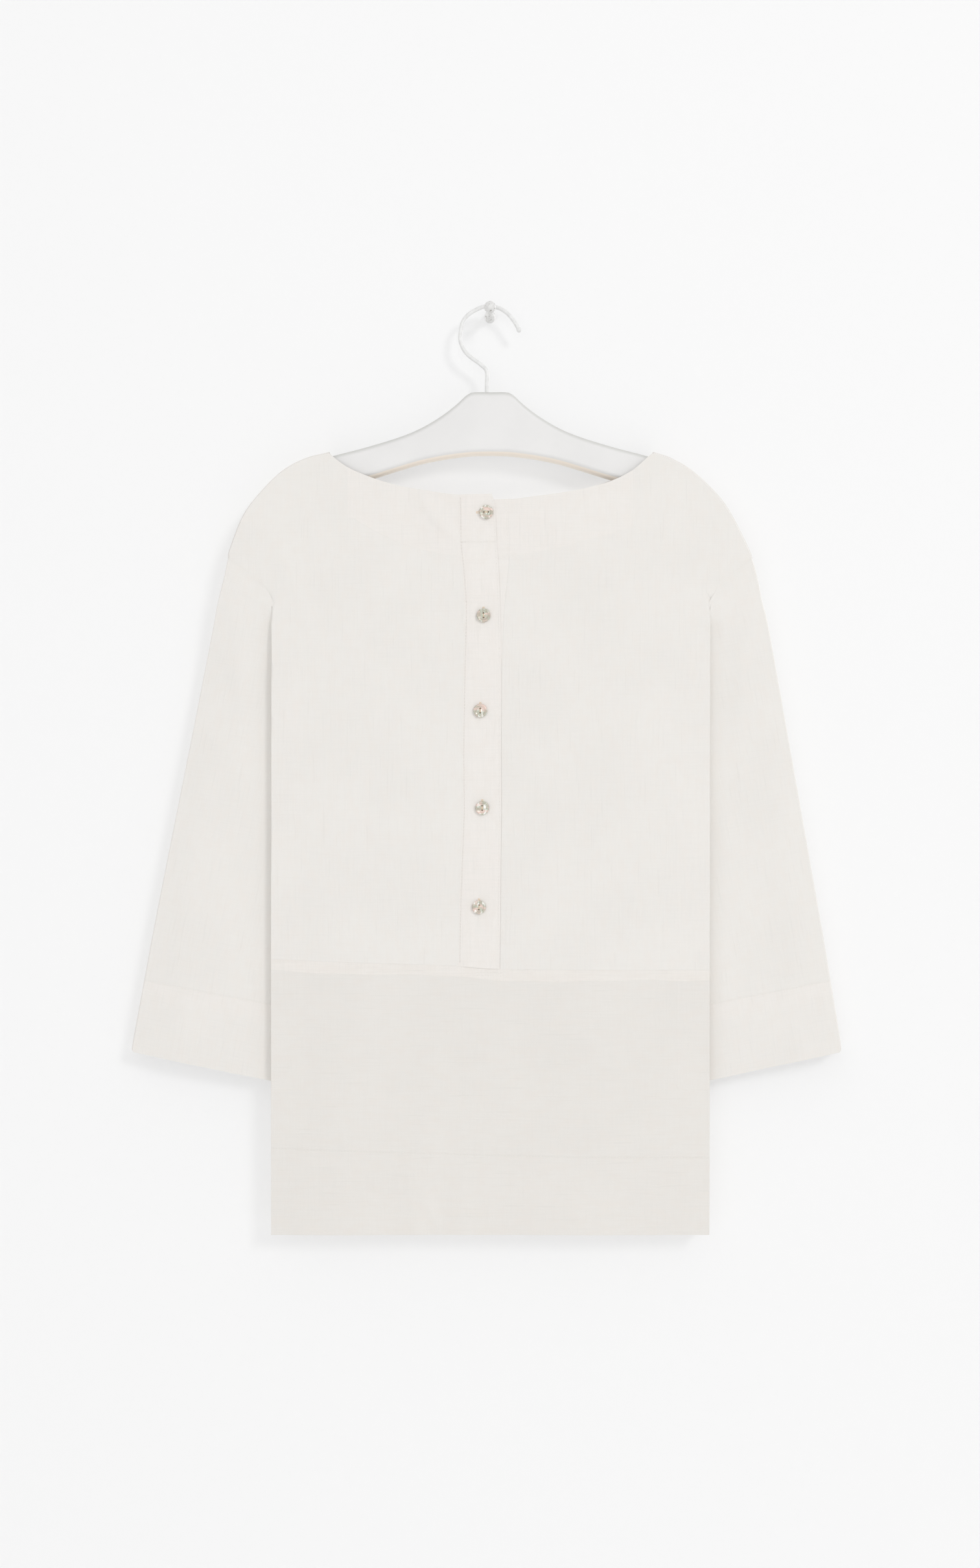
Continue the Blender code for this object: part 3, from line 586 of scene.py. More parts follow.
def linen(name, single, double, cross=False, backing=0.62):
    """Woven linen whose slubs run down the piece, or across it."""
    recipe = Recipe(name)
    place = recipe.node("ShaderNodeUVMap", {"uv_map": "cloth"})

    def yarns(fine, length, detail):
        scale = (length, fine, 1.0) if cross else (fine, length, 1.0)
        return recipe.noise(place, scale, detail)

    slubs = yarns(640.0, 30.0, 3.0)
    thick_yarns = yarns(420.0, 22.0, 1.0).step(0.62, 0.76)
    weft = yarns(34.0, 700.0, 3.0)
    cloudy = recipe.noise(place, (14.0, 14.0, 1.0), 3.0)
    patches = yarns(120.0, 70.0, 3.0)
    doubled = recipe.attribute("double").step(-0.6, 0.7)
    backed = recipe.attribute("backed").step(-0.8, 0.8)
    beside_seam = recipe.attribute("seam").absolute().step(0.2, 1.5)
    colour = recipe.blend(doubled, recipe.blend(backed * backing, single, double), double)
    # Where each change shows, how strongly, and its red, green and blue as parts of the single cloth's
    changes = (
        (slubs.step(0.35, 0.75), 0.3, (0.95, 0.95, 0.95)),
        (weft.step(0.4, 0.75), 0.3, (0.95, 0.95, 0.95)),
        (cloudy.step(0.35, 0.65), 0.35, (1.04, 1.04, 1.04)),
        (patches.step(0.4, 0.68), 0.3, (1.005, 0.975, 0.955)),
        (thick_yarns, 0.26, (0.92, 0.92, 0.92)),
        (1.0 - beside_seam, 0.11, (0.88, 0.88, 0.88)),
    )
    for share, strength, parts in changes:
        tone = tuple(value * part for value, part in zip(single, parts))
        colour = recipe.blend(share * strength, colour, tone)
    woven = recipe.bump(slubs * 0.5 + weft * 0.4 + thick_yarns * 0.3, 0.0002, 0.5)
    crumpled = recipe.bump(recipe.noise(place, (36.0, 26.0, 1.0), 3.0), 0.0012, 0.2, woven)
    layers = recipe.bump(beside_seam * 0.6 + doubled * 0.7 + backed * 0.35, 0.0003, 0.6, crumpled)
    return recipe.surface(
        Base_Color=colour, Roughness=slubs * 0.16 + 0.74, Normal=layers, Sheen_Weight=0.12,
        Sheen_Roughness=0.5, Specular_IOR_Level=0.25,
    )


body_linen = linen("linen", SINGLE_LINEN, DOUBLE_LINEN)
band_linen = linen("cross_grain_linen", CROSS_LINEN, CROSS_DOUBLE_LINEN, cross=True, backing=0.1)
double_linen = linen("double_linen", SINGLE_LINEN, DOUBLE_LINEN)
print("linens:", body_linen.name, band_linen.name, double_linen.name)

# %% [markdown]
# ## Cutting the cloth pieces
# Each piece is a fine grid spread between its four edges, laid at the depth of the hanging cloth and given
# a thin wall inwards. A `cloth` map holds the place on the flat piece in metres, which the weave follows.
# Every piece, soft or hard, is finished in the same way: it rides on the one body and takes the place of
# its imported solid.

# %% How every piece is finished
def select_only(piece):
    deselect()
    bpy.context.view_layer.objects.active = piece
    piece.select_set(True)


def smooth_by_angle(piece, degrees):
    select_only(piece)
    bpy.ops.object.shade_smooth_by_angle(angle=math.radians(degrees))


def apply_modifier(piece, modifier):
    select_only(piece)
    bpy.ops.object.modifier_apply(modifier=modifier.name)


def new_piece(name, mesh):
    piece = bpy.data.objects.new(name, mesh)
    bpy.context.scene.collection.objects.link(piece)
    return piece


def finish_piece(piece, material, replaced=()):
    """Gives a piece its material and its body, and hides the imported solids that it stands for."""
    piece.data.materials.clear()
    piece.data.materials.append(material)
    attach(piece, "root")
    if replaced:
        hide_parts(*replaced)


print("finishing steps ready")

# %% Cloth piece builder
CLOTH_WALL, HEM_WALL = 0.9, 1.9
EDGE_ANGLE = 55.0
FAR = 90.0


def fill_between(top, bottom, left, right, columns, rows):
    """A grid of (across, drop) points that spreads four edges over the cloth between them."""
    u = np.asarray(columns)[None, :, None]
    v = np.asarray(rows)[:, None, None]
    level = mix(top[None], bottom[None], v) + mix(left[:, None], right[:, None], u)
    corners = mix(mix(top[0], top[-1], u), mix(bottom[0], bottom[-1], u), v)
    return level - corners


def grid_faces(rows, columns, closed, reverse):
    faces = []
    for row in range(rows - 1):
        for column in range(columns if closed else columns - 1):
            after = (column + 1) % columns
            low, high = row * columns, (row + 1) * columns
            face = (low + column, high + column, high + after, low + after)
            faces.append(face[::-1] if reverse else face)
    return faces


def cloth_mesh(name, points, faces, flat_map, attributes):
    """The sheet, with its flat map and how far each point lies in doubled cloth or from a seam."""
    mesh = bpy.data.meshes.new(name)
    mesh.from_pydata(points.tolist(), [], faces)
    corners = np.empty(len(mesh.loops), int)
    mesh.loops.foreach_get("vertex_index", corners)
    mesh.uv_layers.new(name="cloth").data.foreach_set("uv", flat_map[corners].reshape(-1))
    for label, values in attributes.items():
        if values is None:
            values = np.full(len(points), FAR if label == "seam" else -FAR)
        data = mesh.attributes.new(label, "FLOAT", "POINT").data
        data.foreach_set("value", np.asarray(values, float).reshape(-1))
    return mesh


def give_wall(piece, wall, hem):
    """Makes the sheet solid inwards, and thicker where its hem is turned up."""
    solidify = piece.modifiers.new("Cloth wall", "SOLIDIFY")
    solidify.offset = -1.0
    solidify.thickness = wall * MM
    if hem is not None:
        group = piece.vertex_groups.new(name="Hem")
        group.add(np.flatnonzero(hem.reshape(-1)).tolist(), 1.0, "REPLACE")
        solidify.vertex_group = group.name
        solidify.thickness = HEM_WALL * MM
        solidify.thickness_vertex_group = wall / HEM_WALL
    apply_modifier(piece, solidify)


def cut_cloth(name, grid, depth, material, flat_map=None, double=None, backed=None, seam=None,
              hem=None, closed=False, reverse=False, wall=CLOTH_WALL, tuck_reach=None):
    """A thin wall of cloth on a grid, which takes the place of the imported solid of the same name."""
    rows, columns = grid.shape[:2]
    if tuck_reach is None:
        places = drawn_apart(np.stack([grid[..., 0], depth, -grid[..., 1]], axis=-1))
    else:
        places = side_tucked(grid, depth, tuck_reach)
    points = places.reshape(-1, 3) * MM
    flat_map = (grid * (1.0, -1.0) if flat_map is None else flat_map).reshape(-1, 2) * MM
    attributes = {"double": double, "backed": backed, "seam": seam}
    faces = grid_faces(rows, columns, closed, reverse)
    mesh = cloth_mesh(name + "_cloth", points, faces, flat_map, attributes)
    piece = new_piece(name + "_cloth", mesh)
    give_wall(piece, wall, hem)
    smooth_by_angle(piece, EDGE_ANGLE)
    finish_piece(piece, material, (name,))


# %% [markdown]
# ### Upper front and back
# The front is cut in two halves, each in one with its shoulder cap, and the back in one. The sleeve's inner
# edge lies behind the sides and makes them a little lighter, and so does the facing round the neck.

# %% Front halves and back
FINE_FOLD = (0.0, 0.12, 0.15, 0.19, 0.26, 0.36, 0.5, 0.72, 1.6, 2.8, 5.0, 8.0)
FINE_ARMHOLE = (12.0, 16.0, 20.0, 24.0, 28.0, 31.8)
FINE_SIDE = (2.0, 4.0, 6.0, 8.0, 10.0, 12.0, 14.5, 17.0, 20.0, 23.0, 27.0, 31.0, 36.0)
SIDE_ROW_COUNT, SHOULDER_COLUMNS, NECK_COLUMNS = 84, 34, 36
FINE_NECK = (0.0, 1.0, 2.0, 3.5, 5.0, 7.0, 9.0)
PANEL_UNDER_BAND, SEAM_GAP = 4.0, 0.04
FACING_REACH, SLEEVE_SHOWS_DROP, SLEEVE_BACKING = 132.0, 300.0, -0.3
FRONT_TUCK_REACH, BACK_TUCK_REACH = 0.4, 8.0


def armhole_and_side(side):
    """Points down the open armhole and then down the side to the waist."""
    armhole = np.array([side_curve(SHOULDER_ROWS, side)[0], side_curve(SIDE_ROWS, side)[0]])
    seam = side_curve(SIDE_ROWS, side)
    seam[-1, 1] = drop_at(WAIST_ROWS, seam[-1, 0])
    top = points_at(armhole, np.array(FINE_FOLD + FINE_ARMHOLE) / lengths_along(armhole)[-1])
    below = points_at(seam, shares_from(seam, FINE_SIDE, SIDE_ROW_COUNT))
    return np.vstack([top, below])


def shoulder_points(side):
    shoulder = side_curve(SHOULDER_ROWS, side)
    return points_at(shoulder, shares_from(shoulder, FINE_FOLD, SHOULDER_COLUMNS))


def row_shares(edge):
    """Shares down an edge that match the rows of armhole_and_side."""
    side_steps = tuple(FINE_ARMHOLE[-1] + step for step in FINE_SIDE)
    return shares_from(edge, FINE_FOLD + FINE_ARMHOLE + side_steps, SIDE_ROW_COUNT)


def placket_line(first_drop, last_drop, column, out=0.0):
    drop = np.linspace(first_drop, last_drop, LINE_POINTS)
    return np.stack([placket_edge(drop, column) + out, drop], axis=-1)


def backed_body(grid, facing):
    """How far each point lies inside cloth that has another layer close behind it."""
    across, drop = grid[..., 0], grid[..., 1]
    reach, drops = np.array(SLEEVE_INNER_ROWS).T
    past_inner_edge = np.abs(across) - np.interp(drop, drops, reach)
    over_sleeve = np.minimum(past_inner_edge, drop - SLEEVE_SHOWS_DROP)
    over_facing = np.full(across.shape, -FAR)
    if facing:
        over_facing = np.minimum(drop_at(FACING_ROWS, across) - drop, FACING_REACH - np.abs(across))
    return np.maximum(np.minimum(over_sleeve, SLEEVE_BACKING), over_facing)


def front_half(name, side):
    column, inset = (1, PANEL_UNDER_BAND) if side < 0 else (3, SEAM_GAP)
    outer = armhole_and_side(side)
    neck_end = FRONT_NECK_ROWS[0 if side < 0 else -1][0]
    neck = stretch_of(FRONT_NECK_ROWS, neck_end, placket_edge(UNDER_BAND_TOP_DROPS[0], column) + inset)
    neck_points = points_at(neck, shares_from(neck, FINE_NECK, NECK_COLUMNS))
    waist = stretch_of(WAIST_ROWS, outer[-1, 0], placket_edge(HEM_DROP, column) + inset)
    centre = placket_line(neck[-1, 1], waist[-1, 1], column, inset)
    top = np.vstack([shoulder_points(side), neck_points[1:]])
    columns = shares_from(waist, FINE_FOLD, len(top) - len(FINE_FOLD))
    rows = row_shares(centre)
    grid = fill_between(top, points_at(waist, columns), outer, points_at(centre, rows), columns, rows)
    backed = backed_body(grid, facing=True)
    cut_cloth(
        name, grid, body_depth(grid, -1), body_linen, backed=backed, reverse=side > 0,
        tuck_reach=FRONT_TUCK_REACH,
    )


def back_panel(name):
    left, right = armhole_and_side(-1), armhole_and_side(1)
    neck = stretch_of(BACK_NECK_ROWS, BACK_NECK_ROWS[0][0], BACK_NECK_ROWS[-1][0])
    neck_points = points_at(neck, shares_from_both_ends(neck, FINE_NECK, 2 * NECK_COLUMNS))
    top = np.vstack([shoulder_points(-1), neck_points[1:-1], shoulder_points(1)[::-1]])
    waist = stretch_of(WAIST_ROWS, left[-1, 0], right[-1, 0])
    columns = shares_from_both_ends(waist, FINE_FOLD, len(top) - 2 * len(FINE_FOLD) + 1)
    rows = row_shares(np.array([neck[len(neck) // 2], waist[len(waist) // 2]]))
    grid = fill_between(top, points_at(waist, columns), left, right, columns, rows)
    backed = backed_body(grid, facing=False)
    cut_cloth(
        name, grid, body_depth(grid, 1), body_linen, backed=backed, reverse=True,
        tuck_reach=BACK_TUCK_REACH,
    )


front_half("front_left", -1)
front_half("front_right", 1)
back_panel("back")

# %% [markdown]
# ### Lower bands
# Below the waist seam the cloth is turned, so its slubs run across. Its seam allowance lies under the top
# edge as a lighter strip with an uneven lower edge, and the deep hem is turned up inside and stitched.

# %% Lower front and back
BAND_COLUMNS, BAND_ROWS, HEM_ROWS, HEM_FIRST_ROW = 110, 48, 22, 0.02
ALLOWANCE_DEPTH = 10.4
# Height and length of the waves in the allowance's cut edge, and where along them it starts
ALLOWANCE_WAVES = ((0.7, 31.0, 0.0), (0.4, 9.0, 1.0))


def lower_band(name, face, tuck_reach):
    left, right = side_curve(BAND_SIDE_ROWS, -1), side_curve(BAND_SIDE_ROWS, 1)
    waist = stretch_of(WAIST_ROWS, left[0, 0], right[0, 0]) + (0.0, SEAM_GAP)
    hem_line = stretch_of(HEM_LINE_ROWS, left[0, 0], right[0, 0])
    columns = shares_from_both_ends(waist, FINE_FOLD, BAND_COLUMNS)
    top, turn = points_at(waist, columns), points_at(hem_line, columns)
    bottom = np.stack([turn[:, 0], np.full(len(turn), HEM_DROP)], axis=-1)
    above = [mix(top, turn, share) for share in np.linspace(0.0, 1.0, BAND_ROWS)]
    below = [mix(turn, bottom, share) for share in np.linspace(HEM_FIRST_ROW, 1.0, HEM_ROWS)]
    grid = np.array(above + below)
    left_across = np.interp(grid[:, 0, 1], left[:, 1], left[:, 0])
    right_across = np.interp(grid[:, -1, 1], right[:, 1], right[:, 0])
    grid[..., 0] = mix(left_across[:, None], right_across[:, None], columns)
    across, drop = grid[..., 0], grid[..., 1]
    hem = np.zeros(grid.shape[:2], bool)
    hem[len(above):] = True
    depth_below = drop - drop_at(WAIST_ROWS, across)
    allowance = ALLOWANCE_DEPTH
    for height, length, start in ALLOWANCE_WAVES:
        allowance = allowance + height * np.sin(across / length + start)
    stitching = drop - drop_at(HEM_LINE_ROWS, across)
    inner_reach, inner_end = SLEEVE_INNER_ROWS[-1]
    over_sleeve = np.minimum(np.abs(across) - inner_reach, inner_end - drop)
    cut_cloth(
        name, grid, body_depth(grid, face), band_linen, double=allowance - depth_below,
        backed=np.maximum(stitching, over_sleeve), seam=stitching, hem=hem, reverse=face > 0,
        tuck_reach=tuck_reach,
    )


lower_band("front_band", -1, FRONT_TUCK_REACH)
lower_band("back_band", 1, BACK_TUCK_REACH)

# %% [markdown]
# ### Sleeves
# A sleeve is a flattened tube that hangs from the open armhole at a slant and ends in a deep turned-up
# cuff. Its inner edge lies behind the body. Its long folds start soft below the armhole. At the armhole its
# front layer is joined to the body's, and further down it dips close under the body's edge.

# %% Sizes of the sleeves
SLEEVE_HIDDEN_FRONT = -11.9
SLEEVE_TOP_FRONT, SLEEVE_LOW_FRONT = -30.5, -23.0
SLEEVE_TOP_BACK, SLEEVE_LOW_BACK = -12.5, -2.0
SLEEVE_SETTLE, SLEEVE_BACK_SETTLE, SIDE_CLEARANCE = 110.0, 60.0, 0.3
TUCK_STEPS, TUCK_FULL, TUCK_DIP, TUCK_DIP_REACH = (-2.0, -0.9, -0.3, -0.2, -0.1, 0.0), 5.0, 2.5, 16.0
SLEEVE_UNDER, JOIN_LENGTH, JOIN_REACH = 1.6, 52.0, 26.0
# Drop, and how far the sleeve's edge is inside the body's
TUCK_ROWS = (
    (250.8, -0.08), (253.0, 0.3), (257.0, 0.9), (262.0, 1.6), (268.0, 2.4), (275.0, 3.6), (285.0, 6.5),
)
HIDDEN_FOLD_START, HIDDEN_FOLD_LENGTH = 276.0, 24.0
SLEEVE_FOLD_TURNS, SLEEVE_FOLD_PHASE, SLEEVE_FOLD_HEIGHT = 7.0, 0.8, 1.4
SLEEVE_COLUMNS, CUFF_START, CUFF_BACKING = 30, 0.851, -0.4
CUFF_LIGHT_END, CUFF_FADE = 16.0, 12.0
WIDTH_SAMPLES, HIDDEN_COLUMNS, LEAST_HIDDEN, SPACE_BEFORE_TUCK = 400, 7, 3.2, 4.0
INNER_FOLD, INNER_FOLD_STEPS = 1.0, (0.35, 0.1, 0.0)
# Shares of the sleeve's length: close together at the armhole and at the cuff
SLEEVE_SHARES = np.concatenate(
    [np.linspace(0.0, 0.12, 19), np.linspace(0.128, 0.85, 88), np.linspace(0.852, 1.0, 22)]
)

# On the flat sleeve: start across from the outer fold and down, end across and down, half width, height
SLEEVE_FRONT_FOLDS = (
    (12.0, 24.0, 34.0, 120.0, 8.0, 0.6),
    (30.0, 60.0, 52.0, 210.0, 10.0, 0.6),
    (18.0, 200.0, 26.0, 380.0, 12.0, 0.6),
    (74.0, 230.0, 66.0, 400.0, 12.0, 0.5),
    (40.0, 400.0, 38.0, 470.0, 9.0, 0.6),
    (92.0, 410.0, 96.0, 470.0, 10.0, 0.5),
)
SLEEVE_BACK_FOLDS = (
    (14.0, 20.0, 40.0, 150.0, 9.0, -0.7),
    (60.0, 90.0, 74.0, 260.0, 12.0, -0.6),
    (34.0, 240.0, 40.0, 440.0, 13.0, -0.7),
    (110.0, 180.0, 104.0, 380.0, 12.0, -0.6),
)
print("rings in a sleeve:", len(SLEEVE_SHARES))


# %% Where a sleeve goes in behind the body
def body_reach(body_edge, drop):
    """How far out the body's side is at a drop."""
    return np.interp(drop, body_edge[:, 1], np.abs(body_edge[:, 0]))


def hidden_edge(side, body_edge):
    """The sleeve's inner edge: joined to the body at the armhole, then further and further behind it."""
    rows = [(body_reach(body_edge, drop) - inside, drop) for drop, inside in TUCK_ROWS]
    rows += [row for row in SLEEVE_INNER_ROWS if row[1] > TUCK_ROWS[-1][0]]
    return smooth_curve([(side * across, drop) for across, drop in rows])


def shown_width(line, width, body_edge):
    """How far across from its outer fold the sleeve shows, before the body covers it."""
    along = points_at(line, np.linspace(0.0, 1.0, WIDTH_SAMPLES))
    inside = body_reach(body_edge, along[:, 1]) - np.abs(along[:, 0])
    behind = inside > SLEEVE_UNDER * free_below_armhole(along[:, 1])
    return width * (1.0 - np.mean(behind))


def sleeve_columns(width, edge):
    """Distances from the outer fold: close together at both folds and where the sleeve tucks in."""
    edge = min(edge, width - LEAST_HIDDEN)
    shown = np.linspace(FINE_FOLD[-1], edge - SPACE_BEFORE_TUCK, SLEEVE_COLUMNS)[1:]
    tuck = edge + np.array(TUCK_STEPS)
    hidden = np.linspace(edge, width - INNER_FOLD, HIDDEN_COLUMNS)[1:]
    inner_fold = width - np.array(INNER_FOLD_STEPS)
    return np.concatenate([(0.0,), FINE_FOLD[2:], shown, tuck, hidden, inner_fold])


def front_depth(end, away, edge, settled, tucked):
    """The depth of the sleeve's front layer at distances from its outer fold."""
    before_edge = edge - away
    hanging = mix(SLEEVE_TOP_FRONT, SLEEVE_LOW_FRONT, settled)
    hanging = hanging + TUCK_DIP * tucked * (1.0 - ease(before_edge / TUCK_DIP_REACH))
    body_front = float(body_depth(end[None], -1)[0])
    near_armhole = 1.0 - ease((end[1] - CREASE_START_DROP) / JOIN_LENGTH)
    shown = mix(hanging, body_front, near_armhole * (1.0 - ease(before_edge / JOIN_REACH)))
    covered = tucked * ease((SIDE_CLEARANCE - before_edge) / SIDE_CLEARANCE)
    return mix(shown, SLEEVE_HIDDEN_FRONT, covered)


print("sleeve edges ready")

# %% Sleeves
sleeve_surfaces = {}


def all_round(front, back):
    """What runs along the front from the outer fold, and then along the back to it again."""
    return np.concatenate([front, back[-2:0:-1]])


def sleeve_ring(side, share, start, end, length, body_edge):
    """One ring of the flattened tube: its points, their depths and their places on the flat piece."""
    line = np.array([start, end])
    width = lengths_along(line)[-1]
    edge = shown_width(line, width, body_edge) if share > 0.0 else width
    away = sleeve_columns(width, edge)
    points = points_at(line, away / width)
    run = share * length
    flat = np.stack([away, np.full(len(away), run)], axis=-1)
    settled = ease(run / SLEEVE_SETTLE)
    tucked = ease((width - edge) / TUCK_FULL) * ease((end[1] - HIDDEN_FOLD_START) / HIDDEN_FOLD_LENGTH)
    front = front_depth(end, away, edge, settled, tucked)
    back = mix(SLEEVE_TOP_BACK, SLEEVE_LOW_BACK, ease(run / SLEEVE_BACK_SETTLE))
    folded = ease((points[:, 1] - HIDDEN_FOLD_START) / HIDDEN_FOLD_LENGTH)
    rise = np.minimum(fold_round(away), mix(1.0, fold_round(width - away), folded))
    wave = SLEEVE_FOLD_HEIGHT * np.sin(SLEEVE_FOLD_TURNS * away / width + SLEEVE_FOLD_PHASE * side)
    free = 1.0 - tucked * ease((away - edge + TUCK_DIP_REACH) / TUCK_DIP_REACH)
    ripple = settled * free * (wave + fold_relief(flat, SLEEVE_FRONT_FOLDS))
    hollow = settled * fold_relief(flat, SLEEVE_BACK_FOLDS)
    middle, half = (front + back) / 2, (back - front) / 2
    depths = all_round(middle - (half + ripple) * rise, middle + (half + hollow) * rise)
    return all_round(points, points), depths, all_round(flat, flat)


def sleeve(name, side):
    outer = side_curve(SLEEVE_ROWS, side)
    body_edge = np.vstack([side_curve(SIDE_ROWS, side), side_curve(BAND_SIDE_ROWS, side)[1:]])
    inner = hidden_edge(side, body_edge)
    outer[0], inner[0] = side_curve(SHOULDER_ROWS, side)[0], body_edge[0]
    length = lengths_along(outer)[-1]
    lines = zip(SLEEVE_SHARES, points_at(outer, SLEEVE_SHARES), points_at(inner, SLEEVE_SHARES))
    rings = [sleeve_ring(side, share, start, end, length, body_edge) for share, start, end in lines]
    grid, depth, flat_map = (np.array(values) for values in zip(*rings))
    turned_up = flat_map[..., 1] - CUFF_START * length
    fading = np.clip((CUFF_LIGHT_END - turned_up) / CUFF_FADE, CUFF_BACKING, 1.0)
    sleeve_surfaces[name] = (grid, depth, int(np.searchsorted(SLEEVE_SHARES, CUFF_START)))
    cut_cloth(
        name, grid, depth, body_linen, flat_map=flat_map * (1.0, -1.0),
        backed=np.minimum(turned_up, fading), seam=turned_up, hem=turned_up > 0.0, closed=True,
        reverse=side > 0,
    )


sleeve("sleeve_left", -1)
sleeve("sleeve_right", 1)

# %% [markdown]
# ### Button bands and neck facing
# The upper band lies flush on the left front, where its edge is stitched down, and the band under it peeks
# out at the neck. The facing is a second layer inside the neck, which only lightens the cloth before it.

# %% Button bands
BAND_WALL, UNDER_BAND_WALL = 0.35, 0.8
UNDER_BAND_DOUBLED, UNDER_BAND_INSET = 0.35, 6.8
OVER_BAND_OUT, OVER_BAND_SUNK, SUNK_REACH = 0.6, 0.52, 8.0
EDGE_STITCH, BAND_SEAM_DROP, UNDER_BAND_SEAM_DROP = 1.6, 217.0, 232.0
STRIP_SHARES = np.concatenate([(0.0, 0.015, 0.04), np.linspace(0.075, 0.925, 13), (0.96, 0.985, 1.0)])


def button_band(name, left_edge, right_edge, top_drops, out, wall, seam_drop, doubled=FAR, sunk=0.0):
    """A strip down the opening; sunk is how deep its left edge, which is stitched down, lies."""
    ends = [placket_edge(HEM_DROP, column) + inset for column, inset in (left_edge, right_edge)]
    waist = stretch_of(WAIST_ROWS, *ends)
    left = placket_line(top_drops[0], waist[0, 1], *left_edge)
    right = placket_line(top_drops[1], waist[-1, 1], *right_edge)
    rows = row_shares(right)
    sides = points_at(left, rows), points_at(right, rows)
    top = mix(left[:1], right[:1], STRIP_SHARES[:, None])
    grid = fill_between(top, points_at(waist, STRIP_SHARES), *sides, STRIP_SHARES, rows)
    across, drop = grid[..., 0], grid[..., 1]
    depth = body_depth(grid, -1, out) + sunk * (1.0 - ease((across - across[:, :1]) / SUNK_REACH))
    cut_cloth(
        name, grid, depth, double_linen, double=np.full(across.shape, doubled),
        seam=drop - seam_drop, wall=wall,
    )


button_band(
    "placket_over", (1, 0.0), (2, 0.0), OVER_BAND_TOP_DROPS, OVER_BAND_OUT, BAND_WALL, BAND_SEAM_DROP,
    sunk=OVER_BAND_SUNK,
)
button_band(
    "placket_under", (1, UNDER_BAND_INSET), (3, 0.0), UNDER_BAND_TOP_DROPS, 0.0, UNDER_BAND_WALL,
    UNDER_BAND_SEAM_DROP, doubled=UNDER_BAND_DOUBLED,
)

# %% Neck facings
FACING_WALL, FACING_EDGE, FACING_INSIDE = 0.6, 2.0, 1.5
FACING_COLUMNS, FACING_LEVELS = 40, 14
# Name, and where it starts and ends across
FACINGS = (("neck_facing_left", -126.0, -33.0), ("neck_facing_right", 19.5, 128.0))


def neck_facing(name, first, last):
    columns = np.linspace(0.0, 1.0, FACING_COLUMNS)
    top = points_at(stretch_of(FRONT_NECK_ROWS, first, last) + (0.0, FACING_EDGE), columns)
    bottom = points_at(stretch_of(FACING_ROWS, first, last), columns)
    grid = np.array([mix(top, bottom, share) for share in np.linspace(0.0, 1.0, FACING_LEVELS)])
    depth = body_depth(grid, -1, -FACING_INSIDE, folded=False)
    cut_cloth(name, grid, depth, double_linen, wall=FACING_WALL)


for row in FACINGS:
    neck_facing(*row)

# %% [markdown]
# ## Hard pieces
# The hanger, its hook and the peg are long forms with one section that changes along a line. Each starts as
# a circle that is extruded once for each section, and every ring is then laid on its section.

# %% A form drawn out through its sections
FORM_EDGE_ANGLE = 40.0


def edit(piece):
    select_only(piece)
    bpy.ops.object.mode_set(mode="EDIT")


def draw_out(name, sections, attribute=None):
    """A closed form through rings of points in mm, with an optional number for each point of a ring."""
    count = len(sections[0])
    deselect()
    bpy.ops.mesh.primitive_circle_add(vertices=count, radius=1.0)
    piece = bpy.context.active_object
    piece.name = name
    bpy.ops.object.mode_set(mode="EDIT")
    bpy.ops.mesh.select_all(action="SELECT")
    for _ in sections[1:]:
        bpy.ops.mesh.extrude_region_move(TRANSFORM_OT_translate={"value": (0.0, 0.0, 1.0)})
    bpy.ops.object.mode_set(mode="OBJECT")
    values = np.zeros(len(piece.data.vertices))
    for vertex in piece.data.vertices:
        turn = math.atan2(vertex.co.x, vertex.co.y) % math.tau
        ring, place = round(vertex.co.z), round(turn / math.tau * count) % count
        if attribute is not None:
            values[vertex.index] = attribute[ring][place]
        vertex.co = [value * MM for value in sections[ring][place]]
    if attribute is not None:
        piece.data.attributes.new("underside", "FLOAT", "POINT").data.foreach_set("value", values)
    edit(piece)
    bpy.ops.mesh.select_all(action="DESELECT")
    bpy.ops.mesh.select_non_manifold(extend=False)
    bpy.ops.mesh.fill_holes(sides=count)
    bpy.ops.mesh.select_all(action="SELECT")
    bpy.ops.mesh.normals_make_consistent(inside=False)
    bpy.ops.object.mode_set(mode="OBJECT")
    smooth_by_angle(piece, FORM_EDGE_ANGLE)
    return piece


def round_ring(centre, first_axis, second_axis, radius, count):
    """A ring of points round a centre, in the plane of two axes."""
    turns = np.linspace(0.0, math.tau, count, endpoint=False)
    reach = np.outer(np.cos(turns), first_axis) + np.outer(np.sin(turns), second_axis)
    return np.asarray(centre) + radius * reach


print("drawn-out forms ready")

# %% [markdown]
# ### Hanger
# A shaped hanger of moulded plastic with a satin finish, flat in front and rounded at its edges. Its
# underside catches warm light from the linen just below it, more than a few lights can throw there, so a
# number for each point says how far it faces down. Where it faces down most, the colour is painted warm
# bounce light that also glows a little, and where it faces up, the rounded top is painted darker as shade.

# %% Hanger body
HANGER_ROWS = (
    (0.0, 76.0, 134.1), (15.0, 76.0, 134.4), (21.5, 78.6, 134.9), (31.0, 87.3, 136.0), (44.4, 97.7, 138.0),
    (63.2, 109.0, 141.8), (83.9, 117.7, 147.8), (115.5, 127.4, 157.5), (146.0, 135.4, 163.5),
    (168.0, 142.4, 166.5), (188.0, 155.2, 169.0), (194.0, 161.0, 167.8), (196.4, 163.4, 166.0),
)
HANGER_THICKNESS, HANGER_ROUNDING = 17.0, 6.0
